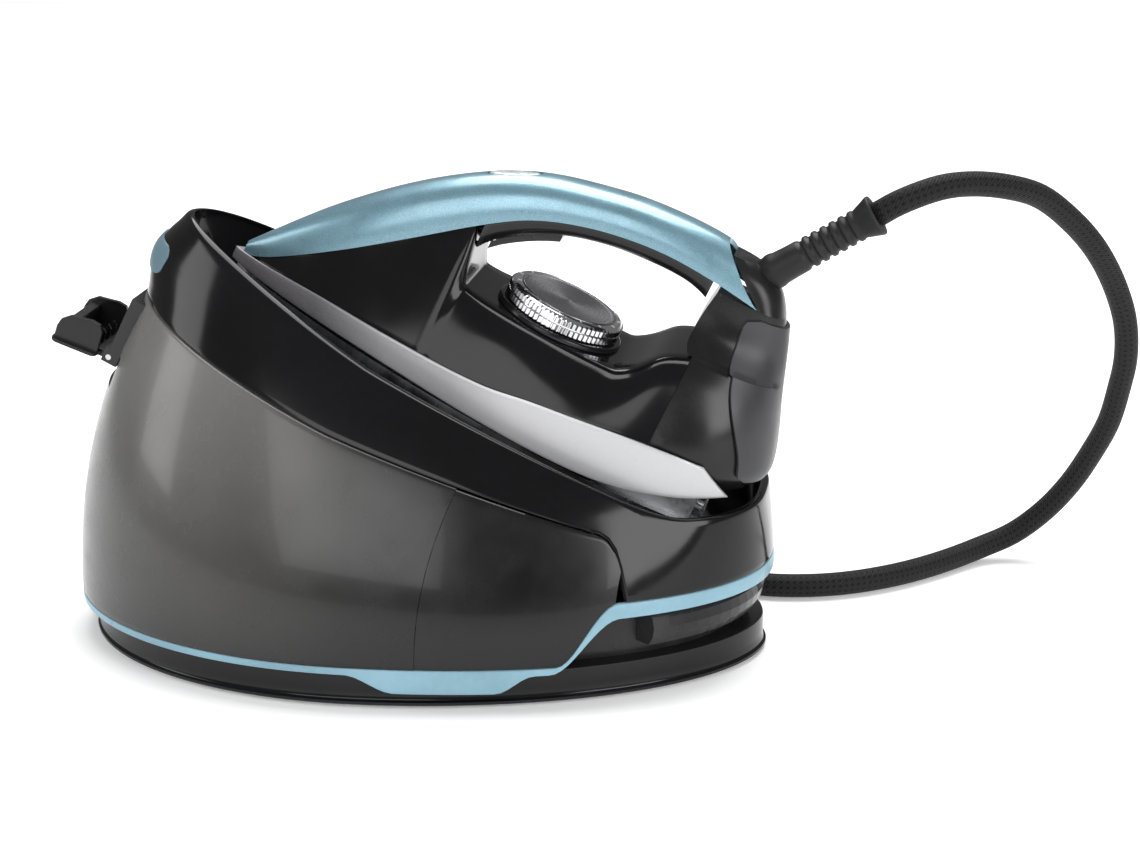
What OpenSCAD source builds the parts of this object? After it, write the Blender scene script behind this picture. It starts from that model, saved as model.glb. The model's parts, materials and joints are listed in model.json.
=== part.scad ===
// Steam generator iron: a boiler base with a smoked water tank, a sloped rest with a raised
// collar, a lift-off iron lying on it nose up, and the steam hose that joins the two.
// Millimetres. +X runs from the iron's nose to its heel, +Z is up, the floor is z = 0.

/* [Base] */
// Left end of the base plate
plate_left = -172; // [-200:1:-150]
// Right end of the base plate
plate_right = 178; // [160:1:200]
// Where the base is widest
base_widest = -22; // [-50:1:10]
// Half of the base plate's width
plate_half = 115; // [100:1:130]
// Top of the base plate
plate_top = 18; // [14:1:22]
// Wall of the base plate
plate_wall = 2.5; // [2:0.1:4]
// Height of the rubber feet below the plate
foot_h = 2; // [1:0.5:4]
// Diameter of the rubber feet
foot_d = 22; // [16:1:30]
// How far the body overhangs the plate at the left end
overhang_left = 7; // [3:0.5:10]
// How far the body overhangs the plate at the right end
overhang_right = 3.5; // [3:0.5:10]
// How far the body overhangs the plate at the sides
overhang_side = 3; // [3:0.5:8]
// Wall of the body shells
shell_wall = 3; // [2:0.1:4]
// Depth of the groove for the wound cord
groove_depth = 18; // [12:1:22]

/* [Accent stripe] */
// Height of the stripe's upper edge at the left
stripe_low = 22; // [20:1:26]
// Height of the stripe's upper edge at the right
stripe_high = 51; // [44:1:56]
// Width of the stripe where it is narrow
stripe_w = 6; // [3:0.5:8]
// How far the wide panel of the stripe reaches down
panel_drop = 8; // [4:1:10]
// Thickness of the stripe
stripe_wall = 2.2; // [1.5:0.1:2.4]

/* [Stand] */
// Room between the iron's nose and the rim's left end
nose_room = 14; // [10:0.5:18]
// Right end of the rim round the iron
rim_right = 177; // [170:1:182]
// Where the rim is widest
rim_widest = 60; // [40:1:80]
// Half of the rim's width
rim_half = 72; // [68:1:80]
// Width of the rim's top edge
rim_w = 4.5; // [4:0.1:6]
// Height of the rim behind the heel
rim_back_h = 85; // [80:1:90]
// Height of the rim above the iron's sole, measured square to it
rim_lip = 8; // [5:0.5:10]
// Extra height of the collar round the nose
collar_rise = 12; // [6:1:16]
// How far the collar swells out at the nose
nose_swell = 10; // [6:1:12]
// Share of the body's height where the tank ends and the stand begins
tank_share = 0.8; // [0.7:0.01:0.84]
// Depth of the platform below the iron's sole
platform_drop = 3; // [2.5:0.1:5]
// Diameter of the rest pads
pad_d = 14; // [10:1:20]

/* [Water tank] */
// Where the tank's rear wall stands
tank_rear = 22; // [10:1:30]
// Length of the filler mouth, up the slope
mouth_l = 30; // [24:1:32]
// Width of the filler mouth
mouth_w = 48; // [40:1:52]
// Wall of the filler neck
neck_wall = 2.5; // [2:0.1:4]
// Travel of the filler flap, in degrees
flap_travel = 97; // [80:1:100]

/* [Iron] */
// Slope of the iron's sole on the stand, in degrees
tilt = 25; // [20:1:28]
// Heel end of the sole plane, along X
heel_x = 173; // [168:1:178]
// Heel end of the sole plane, along Z
heel_z = 60; // [56:1:64]
// Distance from the heel end to the iron's nose
iron_len = 300; // [280:1:310]
// Half of the iron's width
iron_half = 56; // [50:1:58]
// Where the iron is widest, from the heel end
iron_widest = 110; // [90:1:130]
// Thickness of the soleplate
sole_t = 4.8; // [3:0.1:6]
// Diameter of the steam holes
steam_hole_d = 4; // [2:0.5:5]
// Wall of the iron's shells
iron_wall = 2.5; // [2:0.1:3]
// Thickness of the silver band
band_t = 1.6; // [1:0.1:2]
// Half of the handle's width
handle_half = 17; // [15:0.5:19]

/* [Dial] */
// Distance of the dial from the heel end
dial_u = 137; // [130:1:145]
// Outer diameter of the knurled ring
dial_d = 61; // [54:0.5:62]
// Height of the knurled ring
dial_h = 9; // [7:0.5:10]
// Diameter of the dial's shaft
shaft_d = 8; // [6:0.5:10]

/* [Trigger and latch] */
// Width of the steam trigger
trigger_w = 12; // [10:0.5:14]
// Diameter of the trigger's pin
trigger_pin_d = 3; // [2:0.5:4]
// Half angle that the latch's pad spans round the nose, in degrees
latch_spread = 20; // [14:1:24]

/* [Steam hose] */
// Outer diameter of the hose
hose_d = 12.5; // [11:0.5:13]
// Radius of the stored coil, at the middle of its turns
coil_r = 69; // [64:1:75]
// Turns of the stored coil
coil_turns = 2.5; // [1.5:1:3.5]

/* [Fits] */
// Radial clearance of a running fit
run_fit = 0.05; // [0.02:0.01:0.1]
// Gap between parts that move past each other
gap = 0.5; // [0.4:0.1:0.8]
// Seam between fixed shells
seam = 0.2; // [0.1:0.05:0.3]

/* [Hidden] */
$fn = 48;
around = 64;      // points round a body ring
eps = 0.01;

rim_left = heel_x - iron_len * cos(tilt) - nose_room;
foot_l = plate_left - overhang_left;
foot_r = plate_right + overhang_right;
foot_b = plate_half + overhang_side;
foot_n = 2.05;    // squareness of the body's right end
plate_n = 1.85;   // squareness of the plate's right end
rim_n = 2.8;      // squareness of the rim's right end
lean = 2.2;       // how late the body's wall leans in
swell_from = 0.78; // shares of the height where the nose's swell starts and is full
swell_at = 0.92;
slope = tan(tilt);

// ---------- numbers and curves ----------
function lerp(a, b, t) = a + (b - a) * t;
function clamp01(t) = max(0, min(1, t));
function smooth(a, b, x) = let (t = clamp01((x - a) / (b - a))) t * t * (3 - 2 * t);
function soft_max(a, b, k) = 0.5 * (a + b + sqrt((a - b) * (a - b) + k * k));

// Smooth curve through the points of list c, read at x.
function span_of(c, x, i = 0) = i >= len(c) - 2 || x < c[i + 1][0] ? i : span_of(c, x, i + 1);
function grade(c, i) =
    let (a = max(0, i - 1), b = min(len(c) - 1, i + 1)) (c[b][1] - c[a][1]) / (c[b][0] - c[a][0]);
function curve(c, x) =
    let (i = span_of(c, x), h = c[i + 1][0] - c[i][0], t = clamp01((x - c[i][0]) / h))
    c[i][1] * (1 + 2 * t) * (1 - t) * (1 - t) + grade(c, i) * h * t * (1 - t) * (1 - t)
    + c[i + 1][1] * t * t * (3 - 2 * t) - grade(c, i + 1) * h * t * t * (1 - t);

// ---------- closed solids from rings and grids ----------
function quad(a, b, c, d) = [[a, b, c], [a, c, d]];
function strip(m, k, first, wrap) = [
    for (i = [0 : m - 2], j = [0 : wrap ? k - 1 : k - 2])
        let (n = (j + 1) % k, r = first + i * k)
        each quad(r + j, r + n, r + k + n, r + k + j)
];
function flip(faces) = [for (f = faces) [f[0], f[2], f[1]]];

module closed_solid(p, faces) {
    turned = [for (f = faces) cross(p[f[0]], p[f[1]]) * p[f[2]]] * [for (f = faces) 1];
    polyhedron(p, turned < 0 ? faces : flip(faces), convexity = 10);
}

// A solid through closed rings of equal length, with a flat cap on each end.
module loft(rings) {
    m = len(rings);
    k = len(rings[0]);
    last = (m - 1) * k;
    caps = [for (j = [1 : k - 2]) each [[0, j + 1, j], [last, last + j, last + j + 1]]];
    closed_solid([for (r = rings) each r], concat(strip(m, k, 0, true), caps));
}

// A sheet with thickness between two grids of points; wrap joins each row's ends.
module sheet(outer, inner, wrap = false) {
    m = len(outer);
    k = len(outer[0]);
    s = m * k;
    far = s - k;
    ends = [for (j = [0 : wrap ? k - 1 : k - 2])
        let (n = (j + 1) % k)
        each concat(quad(n, j, s + j, s + n), quad(far + j, far + n, s + far + n, s + far + j))];
    sides = wrap ? [] : [for (i = [0 : m - 2])
        let (a = i * k, b = a + k)
        each concat(quad(a, b, s + b, s + a),
                    quad(b + k - 1, a + k - 1, s + a + k - 1, s + b + k - 1))];
    faces = concat(strip(m, k, 0, wrap), flip(strip(m, k, s, wrap)), ends, sides);
    closed_solid(concat([for (r = outer) each r], [for (r = inner) each r]), faces);
}

// ---------- the base's outlines ----------
function half_width(x, xl, xc, xr, b, nl, nr) =
    let (r = x < xc ? (xc - x) / (xc - xl) : (x - xc) / (xr - xc), n = x < xc ? nl : nr)
    r >= 1 ? 0 : b * pow(1 - pow(r, n), 1 / n);
function oval(t, xl, xc, xr, b, nr) =
    let (c = cos(t), s = sin(t), n = c < 0 ? 2 : nr, a = c < 0 ? xc - xl : xr - xc)
    [xc + sign(c) * a * pow(abs(c), 2 / n), sign(s) * b * pow(abs(s), 2 / n)];
function foot_pt(t, d) = oval(t, foot_l + d, base_widest, foot_r - d, foot_b - d, foot_n);
function plate_pt(t, d) =
    oval(t, plate_left + d, base_widest, plate_right - d, plate_half - d, plate_n);
// Angle at which the body's foot passes a given x, right of the widest place.
function angle_at(x) = acos(pow((x - base_widest) / (foot_r - base_widest), foot_n / 2));

// Height of the sole plane, of the platform and of the rim.
function sole_z(x) = heel_z + (heel_x - x) * slope;
function platform_z(x) = sole_z(x) - platform_drop / cos(tilt);
function rim_z(x) =
    soft_max(sole_z(x) + (rim_lip + collar_rise * pow(clamp01((-10 - x) / 103), 1.2)) / cos(tilt),
             rim_back_h, 5);
function rim_x(t) =
    lerp(rim_left, rim_right, (foot_pt(t, 0).x - foot_l) / (foot_r - foot_l));

// Point of the body's skin: s is its share of the height, t its angle, d its depth under the skin.
function skin(s, t, d) =
    let (p = foot_pt(t, d),
         x = lerp(rim_left + d, rim_right - d, (p.x - foot_l - d) / (foot_r - foot_l - 2 * d)),
         y = half_width(x, rim_left + d, rim_widest, rim_right - d, rim_half - d, 2, rim_n),
         g = pow(max(s, 0), lean),
         swell = nose_swell * pow(max(0, -cos(t)), 8) * smooth(swell_from, swell_at, s)
             * (1 - 0.5 * smooth(swell_at, 1, s)))
    [lerp(p.x, x, g) - swell, lerp(p.y, sign(p.y) * y, g), lerp(stripe_low, rim_z(rim_x(t)), s)];
function share_at(z, t) = (z - stripe_low) / (rim_z(rim_x(t)) - stripe_low);
function skin_at(z, t, d) =
    let (p = skin(max(0, share_at(z, t)), t, d)) [p.x, p.y, z];

// Edges of the accent stripe and of the stand, along the foot's x.
rise_from = 91;
rise_to = 111;
function stripe_top(x) = lerp(stripe_low, stripe_high, smooth(rise_from - 3, rise_to + 3, x));
function stripe_bottom(x) =
    lerp(lerp(plate_top + seam, plate_top + seam - panel_drop,
              smooth(-12, 12, x) * (1 - smooth(60, 78, x))),
         stripe_high - stripe_w, smooth(rise_from - 6, rise_to + 5, x));
corner_from = 98;
corner_to = 116;
function stand_share(t) =
    let (x = foot_pt(t, 0).x, r = clamp01((x - corner_from) / (corner_to - corner_from)),
         low = share_at(stripe_high + seam, t))
    x >= corner_to ? low : low + (tank_share - low) * sqrt(1 - r * r);

// ---------- base: plate, covers, feet ----------
cover_t = 2;
module plate_outline(d) {
    polygon([for (i = [0 : 95]) plate_pt(i * 360 / 96, d)]);
}

module base_plate() {
    color("#141416")
    difference() {
        union() {
            translate([0, 0, foot_h]) linear_extrude(plate_top - foot_h) plate_outline(1.5);
            translate([0, 0, foot_h]) linear_extrude(cover_t) plate_outline(0);
        }
        translate([0, 0, foot_h - eps])
            linear_extrude(plate_top - foot_h - plate_wall + eps) plate_outline(1.5 + plate_wall);
        for (p = screw_spots) translate([p.x, p.y, plate_top - plate_wall - 1])
            cylinder(d = screw_d + 2 * run_fit, h = plate_wall + 2);
        translate([boiler_x, 0, plate_top - plate_wall - 1]) cylinder(d = 30, h = plate_wall + 2);
    }
}

screw_d = 4;
screw_grip = 2.4; // how far the screws reach into the part above the plate
screw_spots = [[-120, 50], [-120, -50], [50, 75], [50, -75], [130, 35], [130, -35]];
foot_spots = [[-130, 55], [-130, -55], [110, 62], [110, -62]];

module bottom_cover() {
    color("#202022")
    difference() {
        translate([0, 0, foot_h]) linear_extrude(cover_t) plate_outline(1.5 + plate_wall + seam);
        for (p = foot_spots)
            translate([p.x, p.y, foot_h - eps]) cylinder(d = foot_stem_d, h = cover_t + 2 * eps);
        for (p = screw_spots) translate([p.x, p.y, foot_h - eps]) cylinder(d = 9, h = cover_t + 2 * eps);
    }
}

foot_stem_d = 10;
module rubber_feet() {
    color("#2a2a2a")
    for (p = foot_spots) translate([p.x, p.y, 0]) {
        cylinder(d = foot_d, h = foot_h);
        translate([0, 0, foot_h]) cylinder(d = foot_stem_d, h = cover_t);
        translate([0, 0, foot_h + cover_t]) cylinder(d = foot_stem_d + 3, h = 2);
    }
}

module housing_screws() {
    color("silver")
    for (p = screw_spots) translate([p.x, p.y, 0]) {
        translate([0, 0, plate_top - plate_wall - 2.4]) cylinder(d = 8, h = 2.4);
        translate([0, 0, plate_top - plate_wall]) cylinder(d = screw_d, h = plate_wall + screw_grip);
    }
}

// ---------- base: groove wall, cleat, stripe ----------
groove_top = stripe_high - stripe_w + 0.5;
flange_t = 2;
flange_in = 10;   // how far the flange stays inside the body's foot
floor_t = 2.5;
bay_front = tank_rear + 3;
// Plan of the bay behind the tank, d inside the body's foot.
module bay_outline(d, front) {
    a = acos(pow((front - base_widest) / (foot_r - d - base_widest), foot_n / 2));
    polygon([for (i = [0 : 40]) foot_pt(lerp(-a, a, i / 40), d)]);
}

module boiler_housing() {
    floor_z = plate_top + seam;
    color("#1a1a1c")
    difference() {
        union() {
            translate([0, 0, floor_z])
                linear_extrude(groove_top - floor_z) bay_outline(groove_depth, bay_front);
            translate([0, 0, groove_top]) linear_extrude(flange_t) bay_outline(flange_in, bay_front);
        }
        translate([0, 0, floor_z + floor_t])
            linear_extrude(groove_top) bay_outline(groove_depth + floor_t, bay_front + floor_t);
        for (p = screw_spots) if (p.x > bay_front)
            translate([p.x, p.y, floor_z - eps]) cylinder(d = screw_d + 2 * run_fit, h = floor_t + 1);
        translate([boiler_x, 0, floor_z - 1]) cylinder(d = 30, h = floor_t + 2);
        bore_along([mains_x, mains_wall_y, mains_z], [0, 1, 0], mains_d + 2 * seam, 30);
        bore_along([bay_front, 0, pickup_z], [1, 0, 0], pickup_d + 2 * seam, 20);
        bore_along([hose_gland_at.x, 90, hose_gland_at.z], [0, 1, 0], outlet_d + 2 * seam, 16);
    }
}

cleat_top = groove_top - 2;
cleat_low = plate_top + 7;
cleat_turn = 40;
module cord_cleat() {
    rows = [for (f = [0 : 0.25 : 1])
        let (bulge = 4 * (1 - pow(2 * f - 1, 2)), z = lerp(cleat_low, cleat_top, f))
        [for (i = [0 : 24])
            let (p = foot_pt(lerp(-cleat_turn, cleat_turn, i / 24), 9 - bulge)) [p.x, p.y, z]]];
    back = [for (f = [0 : 0.25 : 1])
        [for (i = [0 : 24]) let (p = foot_pt(lerp(-cleat_turn, cleat_turn, i / 24), groove_depth - seam))
            [p.x, p.y, lerp(cleat_low, cleat_top, f)]]];
    color("#101012") sheet(rows, back);
}

module accent_stripe() {
    turn = [for (i = [0 : 159]) i * 360 / 160];
    function row(top, d) = [for (t = turn)
        let (x = foot_pt(t, 0).x) skin_at(top ? stripe_top(x) - seam : stripe_bottom(x), t, d)];
    color("#8fbccb")
    sheet([row(false, 0.3), row(false, 0), row(true, 0), row(true, 0.3)],
          [row(false, stripe_wall), row(false, stripe_wall),
           row(true, stripe_wall), row(true, stripe_wall)], true);
}

// ---------- base: tank, side skins, stand ----------
tank_angle = angle_at(tank_rear);
tank_inner_angle = angle_at(tank_rear - shell_wall);
tank_floor = plate_top + seam;
tank_floor_t = 4;
function tank_ring(s, d, z) =
    let (a = d < shell_wall ? tank_angle : tank_inner_angle)
    [for (i = [0 : 47]) let (p = skin(s, lerp(a, 360 - a, i / 47), d)) [p.x, p.y, z == undef ? p.z : z]];
module water_tank() {
    top = tank_share - 0.006;
    behind = stripe_wall + 2 * seam;
    color([0.35, 0.35, 0.37, 0.6])
    difference() {
        loft([
            tank_ring(0, 2 * shell_wall, tank_floor + tank_floor_t),
            tank_ring(0.12, shell_wall, undef), tank_ring(0.4, shell_wall, undef),
            tank_ring(0.62, shell_wall, undef), tank_ring(top, shell_wall, undef),
            tank_ring(top, 0, undef), tank_ring(0.7, 0, undef), tank_ring(0.6, 0, undef),
            tank_ring(0.48, 0, undef), tank_ring(0.34, 0, undef), tank_ring(0.18, 0, undef),
            tank_ring(0, 0, undef), tank_ring(0, behind, stripe_low), tank_ring(0, behind, tank_floor)
        ]);
        in_mouth() translate([mouth_start - seam, -mouth_w / 2 - seam, -24])
            cube([mouth_l + 2 * seam, mouth_w + 2 * seam, 60]);
        bore_along([tank_rear, 0, pickup_z], [1, 0, 0], pickup_d + 2 * seam, 20);
        in_mouth() translate([-13, -mouth_w / 2 - 4, -7.5]) cube([mouth_start + 14, mouth_w + 8, 30]);
        for (p = screw_spots) if (p.x < bay_front)
            translate([p.x, p.y, tank_floor - 1]) cylinder(d = screw_d + 2 * run_fit, h = 1 + screw_grip);
    }
}

skin_top_gap = 0.01;
module side_skin(side) {
    a = angle_at(corner_to - 3);
    cols = [for (i = [0 : 32]) let (t = lerp(a, tank_angle - 0.2, i / 32)) side * t];
    function low(t) = share_at(stripe_top(foot_pt(t, 0).x) + seam, t);
    function high(t) = let (step = turn_angle(1), from = floor(t / step) * step)
        min(stand_share(t), lerp(stand_share(from), stand_share(from + step), (t - from) / step)) - skin_top_gap;
    function face(d) = [for (f = [0 : 0.2 : 1]) [for (t = cols) skin(lerp(low(t), high(t), f), t, d)]];
    color([0.2, 0.2, 0.22, 0.9]) sheet(face(0), face(stripe_wall));
}

module side_skin_near() { side_skin(-1); }
module side_skin_far() {
    difference() {
        side_skin(1);
        bore_along(hose_gland_at, [0, 1, 0], gland_d + 2 * seam, 40);
    }
}

platform_t = 3;
function turn_angle(i) = i * 360 / around;
function platform_ring(k, d, drop) = [for (i = [0 : around - 1])
    let (p = skin(1, turn_angle(i), d), x = lerp(rim_widest, p.x, k)) [x, p.y * k, platform_z(x) - drop]];
function under_share(t) =
    max(stand_share(t) + 0.01,
        (platform_z(skin(0.85, t, shell_wall).x) - platform_t / cos(tilt) - stripe_low)
        / (rim_z(rim_x(t)) - stripe_low));
module stand() {
    under = platform_t / cos(tilt);
    function row(f, d) = [for (i = [0 : around - 1])
        let (t = turn_angle(i)) skin(lerp(stand_share(t), 1, f), t, d)];
    function inner(f) = [for (i = [0 : around - 1])
        let (t = turn_angle(i)) skin(lerp(stand_share(t), under_share(t), f), t, shell_wall)];
    under_edge = [for (p = inner(1)) [p.x, p.y, platform_z(p.x) - under]];
    color("#1c1c1e")
    difference() {
        loft([
            platform_ring(0.4, rim_w + 1, 0), platform_ring(1, rim_w + 1, 0),
            row(0.97, rim_w), row(1, rim_w - 0.8), row(1, 0.8), row(0.97, 0), row(0.7, 0),
            row(0.35, 0), row(0, 0), row(0, shell_wall), inner(0.5), under_edge,
            [for (p = under_edge) let (x = lerp(rim_widest, p.x, 0.4)) [x, p.y * 0.4, platform_z(x) - under]]
        ]);
        latch_slot();
        in_iron() for (p = pad_spots) translate([-p.x, p.y, -platform_drop - platform_t - 2])
            cylinder(d = pad_stem_d + 2 * run_fit, h = platform_t + 4);
        bore_along(button_at, button_dir, button_d + 2 * gap, 20);
        along(button_at, button_dir) translate([0, 0, -button_deep - button_collar - button_travel - gap])
            cylinder(d = button_d + 4 + 2 * gap, h = button_collar + button_travel + 2 * gap);
        in_mouth() translate([mouth_start - 1, -mouth_w / 2 - 3, -30]) cube([mouth_l + 3, mouth_w + 6, 46]);
    }
}

pad_spots = [[60, 30], [60, -30], [230, 18], [230, -18]];
pad_stem_d = 6;
module rest_pads() {
    color("#3a3a3a")
    in_iron() for (p = pad_spots) translate([-p.x, p.y, -platform_drop]) {
        cylinder(d = pad_d, h = platform_drop - 0.3);
        translate([0, 0, -platform_t]) cylinder(d = pad_stem_d, h = platform_t);
        translate([0, 0, -platform_t - 1.5]) cylinder(d = pad_stem_d + 2, h = 1.5);
    }
}

// Places a cutter or a pin: its middle at p, its axis along direction v.
module along(p, v) {
    translate(p) rotate([0, acos(v.z / norm(v)), atan2(v.y, v.x)]) children();
}
module bore_along(p, v, d, h) {
    along(p, v) translate([0, 0, -h / 2]) cylinder(d = d, h = h);
}

// ---------- filler mouth: neck, flap, pin ----------
// The mouth's own frame: hinge at the origin, x up the slope, z outwards.
mouth_at = [-156, 0, 143];
mouth_slope = 63.4;
mouth_start = 4;
module in_mouth() { translate(mouth_at) rotate([0, -mouth_slope, 0]) children(); }
module filler_neck() {
    color("#2b2b2d")
    in_mouth() difference() {
        union() {
            translate([mouth_start, -mouth_w / 2, -22]) cube([mouth_l, mouth_w, 23]);
            for (side = [-1, 1])
                translate([-3, side * (mouth_w / 2 - 3) - 3, -5.5]) cube([mouth_start + 4, 6, 8.5]);
        }
        translate([mouth_start + neck_wall, -mouth_w / 2 + neck_wall, -30])
            cube([mouth_l - 2 * neck_wall, mouth_w - 2 * neck_wall, 40]);
        rotate([90, 0, 0]) cylinder(d = hinge_pin_d, h = mouth_w + 2, center = true);
        translate([mouth_start - 9, -mouth_w / 2 + 7, -8]) cube([9 + neck_wall + 2, mouth_w - 14, 20]);
    }
}

hinge_pin_d = 3;
module flap_pin() {
    color("silver") in_mouth() rotate([90, 0, 0]) cylinder(d = hinge_pin_d, h = mouth_w - 0.4, center = true);
}

flap_half = mouth_w / 2 - neck_wall - gap;
module filler_flap() {
    color("#39393b")
    translate(mouth_at) rotate([0, -flap_travel, 0]) rotate([0, -mouth_slope, 0])
    difference() {
        union() {
            rotate([90, 0, 0]) cylinder(d = 8, h = 2 * (mouth_w / 2 - 7 - gap), center = true);
            translate([1, -mouth_w / 2 + 7 + gap, 0]) cube([8, mouth_w - 14 - 2 * gap, 4]);
            translate([mouth_start + 2, -mouth_w / 2, 1.5]) cube([mouth_l - 4, mouth_w, 2.5]);
            for (side = [-1, 1])
                translate([mouth_start + neck_wall + gap + 3, side * (flap_half - 1.25) - 1.25, -14])
                    cube([mouth_l - 2 * neck_wall - 2 * gap - 6, 2.5, 16]);
            translate([mouth_start + mouth_l - neck_wall - gap - 5, -flap_half, -9])
                cube([2.5, 2 * flap_half, 11]);
        }
        rotate([90, 0, 0]) cylinder(d = hinge_pin_d + 2 * run_fit, h = mouth_w + 2, center = true);
    }
}

// ---------- inside the base ----------
boiler_x = 108;
boiler_d = 86;
boiler_low = 26;
boiler_top = 58;
module boiler() {
    color("#b9bbbd")
    translate([boiler_x, 0, boiler_low]) difference() {
        union() {
            cylinder(d = boiler_d, h = boiler_top - boiler_low - 6);
            translate([0, 0, boiler_top - boiler_low - 6]) cylinder(d1 = boiler_d, d2 = boiler_d - 20, h = 6);
            translate([0, 0, 14]) cylinder(d = boiler_d + 8, h = 3);
        }
        translate([0, 0, 2]) cylinder(d = boiler_d - 5, h = boiler_top - boiler_low - 9);
        translate([-20, 0, 10]) cylinder(d = valve_d, h = 40);
        translate([10, 18, 10]) cylinder(d = 8, h = 40);
    }
}
valve_d = 10;
module boiler_heater() {
    color("#8a8c90") translate([boiler_x, 0, boiler_low - 3.5]) {
        difference() {
            cylinder(d = 70, h = 3.5);
            translate([0, 0, -1]) cylinder(d = 20, h = 6);
        }
        for (a = [60, 120]) rotate(a) translate([32, 0, -1.5]) cylinder(d = 5, h = 1.5);
    }
}
module boiler_insulation() {
    color("#d8d4c4") translate([boiler_x, 0, boiler_low]) difference() {
        cylinder(d = boiler_d + 7, h = 13.8);
        translate([0, 0, -1]) cylinder(d = boiler_d, h = 16);
    }
}
module safety_valve() {
    color("#c9a14a") translate([boiler_x - 20, 0, boiler_top - 5]) {
        cylinder(d = valve_d, h = 8);
        translate([0, 0, 5.1]) cylinder(d = valve_d + 5, h = 5, $fn = 6);
        translate([0, 0, 10.1]) cylinder(d = 8, h = 5);
    }
}
hose_gland_at = [60, 114, 34];
relief_tail = 30;
gland_depth = 18;
solenoid_at = [88, 62];
module solenoid_valve() {
    color("#3b5a86") translate([solenoid_at.x - 12, solenoid_at.y - 12, plate_top + seam + floor_t]) {
        cube([24, 24, 26]);
        translate([12, 12, 26]) cylinder(d = 10, h = 8);
    }
}
outlet_z = plate_top + seam + floor_t + 34;
outlet_d = 6;
module steam_outlet() {
    color("#d9d9d4") tube([
        [solenoid_at.x, solenoid_at.y, outlet_z], [solenoid_at.x, solenoid_at.y, 60],
        [82, 64, 63], [72, 68, 57], [64, 74, 45], [60, 82, 36], [60, 90, 34],
        hose_gland_at - [0, gland_depth, 0]
    ], outlet_d, 10);
}

pump_at = [47, -45, 40];
pump_d = 28;
module pump() {
    color("#e4e2da") translate(pump_at) rotate([90, 0, 0]) {
        cylinder(d = pump_d, h = 50, center = true);
        translate([0, 0, 25]) cylinder(d = 8, h = 8);
        translate([0, 0, -33]) cylinder(d = 8, h = 8);
    }
}
module pump_mounts() {
    color("#30302f") for (y = [-18, 18]) translate([pump_at.x, pump_at.y + y, pump_at.z]) difference() {
        translate([0, 0, -(pump_at.z - plate_top - seam - floor_t) / 2])
            cube([pump_d + 2, 7, pump_at.z - plate_top - seam - floor_t], center = true);
        rotate([90, 0, 0]) cylinder(d = pump_d, h = 20, center = true);
    }
}

pickup_z = 30;
pickup_d = 7;
module pickup_tube() {
    color("#e8e8e0") translate([cartridge_x + 10, 0, pickup_z]) rotate([0, 90, 0])
        cylinder(d = pickup_d, h = tank_rear + 14 - cartridge_x);
}
cartridge_x = -40;
module antiscale_cartridge() {
    low = tank_floor + tank_floor_t;
    color("#f0efe9") translate([cartridge_x, 0, low]) difference() {
        cylinder(d = 30, h = 24);
        translate([10, 0, pickup_z - low]) rotate([0, 90, 0]) cylinder(d = pickup_d, h = 40);
    }
}
module control_board() {
    color("#2f7a4a") translate([34, 18, 26]) cube([1.6, 60, 34]);
    color("#1d1d1d") translate([35.6, 26, 32]) cube([9, 16, 14]);
    color("#c8732c") translate([35.6, 50, 34]) cube([12, 18, 18]);
}

// ---------- power button on the far shoulder ----------
button_t = 38;
button_d = 14;
button_travel = 1.5;
button_out = 2.5;      // how far the cap stands proud
button_deep = 8;       // depth of the collar that keeps the cap in
button_collar = 2.5;
button_at = skin(0.72, button_t, 0);
button_dir = [cos(button_t + 4), sin(button_t + 4), 0.25];
module power_button() {
    color("#8fbccb") along(button_at, button_dir) {
        translate([0, 0, -button_deep]) cylinder(d = button_d, h = button_deep + button_out);
        translate([0, 0, -button_deep - button_collar]) cylinder(d = button_d + 4, h = button_collar);
    }
}
module power_switch() {
    color("#26262a") along(button_at, button_dir)
        translate([0, 0, -button_deep - button_collar - button_travel - gap - 10]) cylinder(d = 12, h = 10);
}

// ---------- glands ----------
mains_d = 9;
mains_bore_d = 6;
mains_out = 16;
gland_d = 20;
mains_x = 112;
mains_z = 31;
mains_wall_y = half_width(mains_x, foot_l + groove_depth, base_widest, foot_r - groove_depth,
                          foot_b - groove_depth, 2, foot_n);
module mains_gland() {
    color("#202020") translate([mains_x, mains_wall_y - 8, mains_z]) rotate([-90, 0, 0]) difference() {
        cylinder(d = mains_d, h = 8 + mains_out);
        translate([0, 0, 8]) cylinder(d = mains_bore_d, h = mains_out + 1);
    }
}
module hose_gland() {
    color("#19191b") translate(hose_gland_at) rotate([-90, 0, 0]) {
        translate([0, 0, -gland_depth]) cylinder(d = gland_d, h = gland_depth);
        cylinder(d = gland_d + 6, h = 3);
        translate([0, 0, 3]) cylinder(d1 = gland_d, d2 = hose_d + 3, h = relief_tail);
    }
}

// ---------- carry latch: a pad in a pocket of the collar, with a tongue towards the nose ----------
latch_low = 0.865;
latch_high = 0.945;
latch_t = 4;
latch_travel = 6;
tongue_half = 8;
tongue_z = [199.6, 203.6];
tongue_tip = -97.5;
tongue_from = rim_left - 6.5 - 0.8 * nose_swell;
function pad_grid(spread, s0, s1, d, back) = [for (i = [0 : 4])
    [for (j = [-5 : 5]) skin(lerp(s0, s1, i / 4), 180 + j * spread / 5, d) + [back, 0, 0]]];
module latch_slot() {
    more = 0.004;
    sheet(pad_grid(latch_spread + 0.5, latch_low - more, latch_high + more, -3, 0),
          pad_grid(latch_spread + 0.5, latch_low - more, latch_high + more, 0, latch_t + latch_travel + gap));
    translate([tongue_from - latch_travel, -tongue_half - gap, tongue_z[0] - gap])
        cube([32 + nose_swell, 2 * (tongue_half + gap), tongue_z[1] - tongue_z[0] + 2 * gap]);
}
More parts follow.
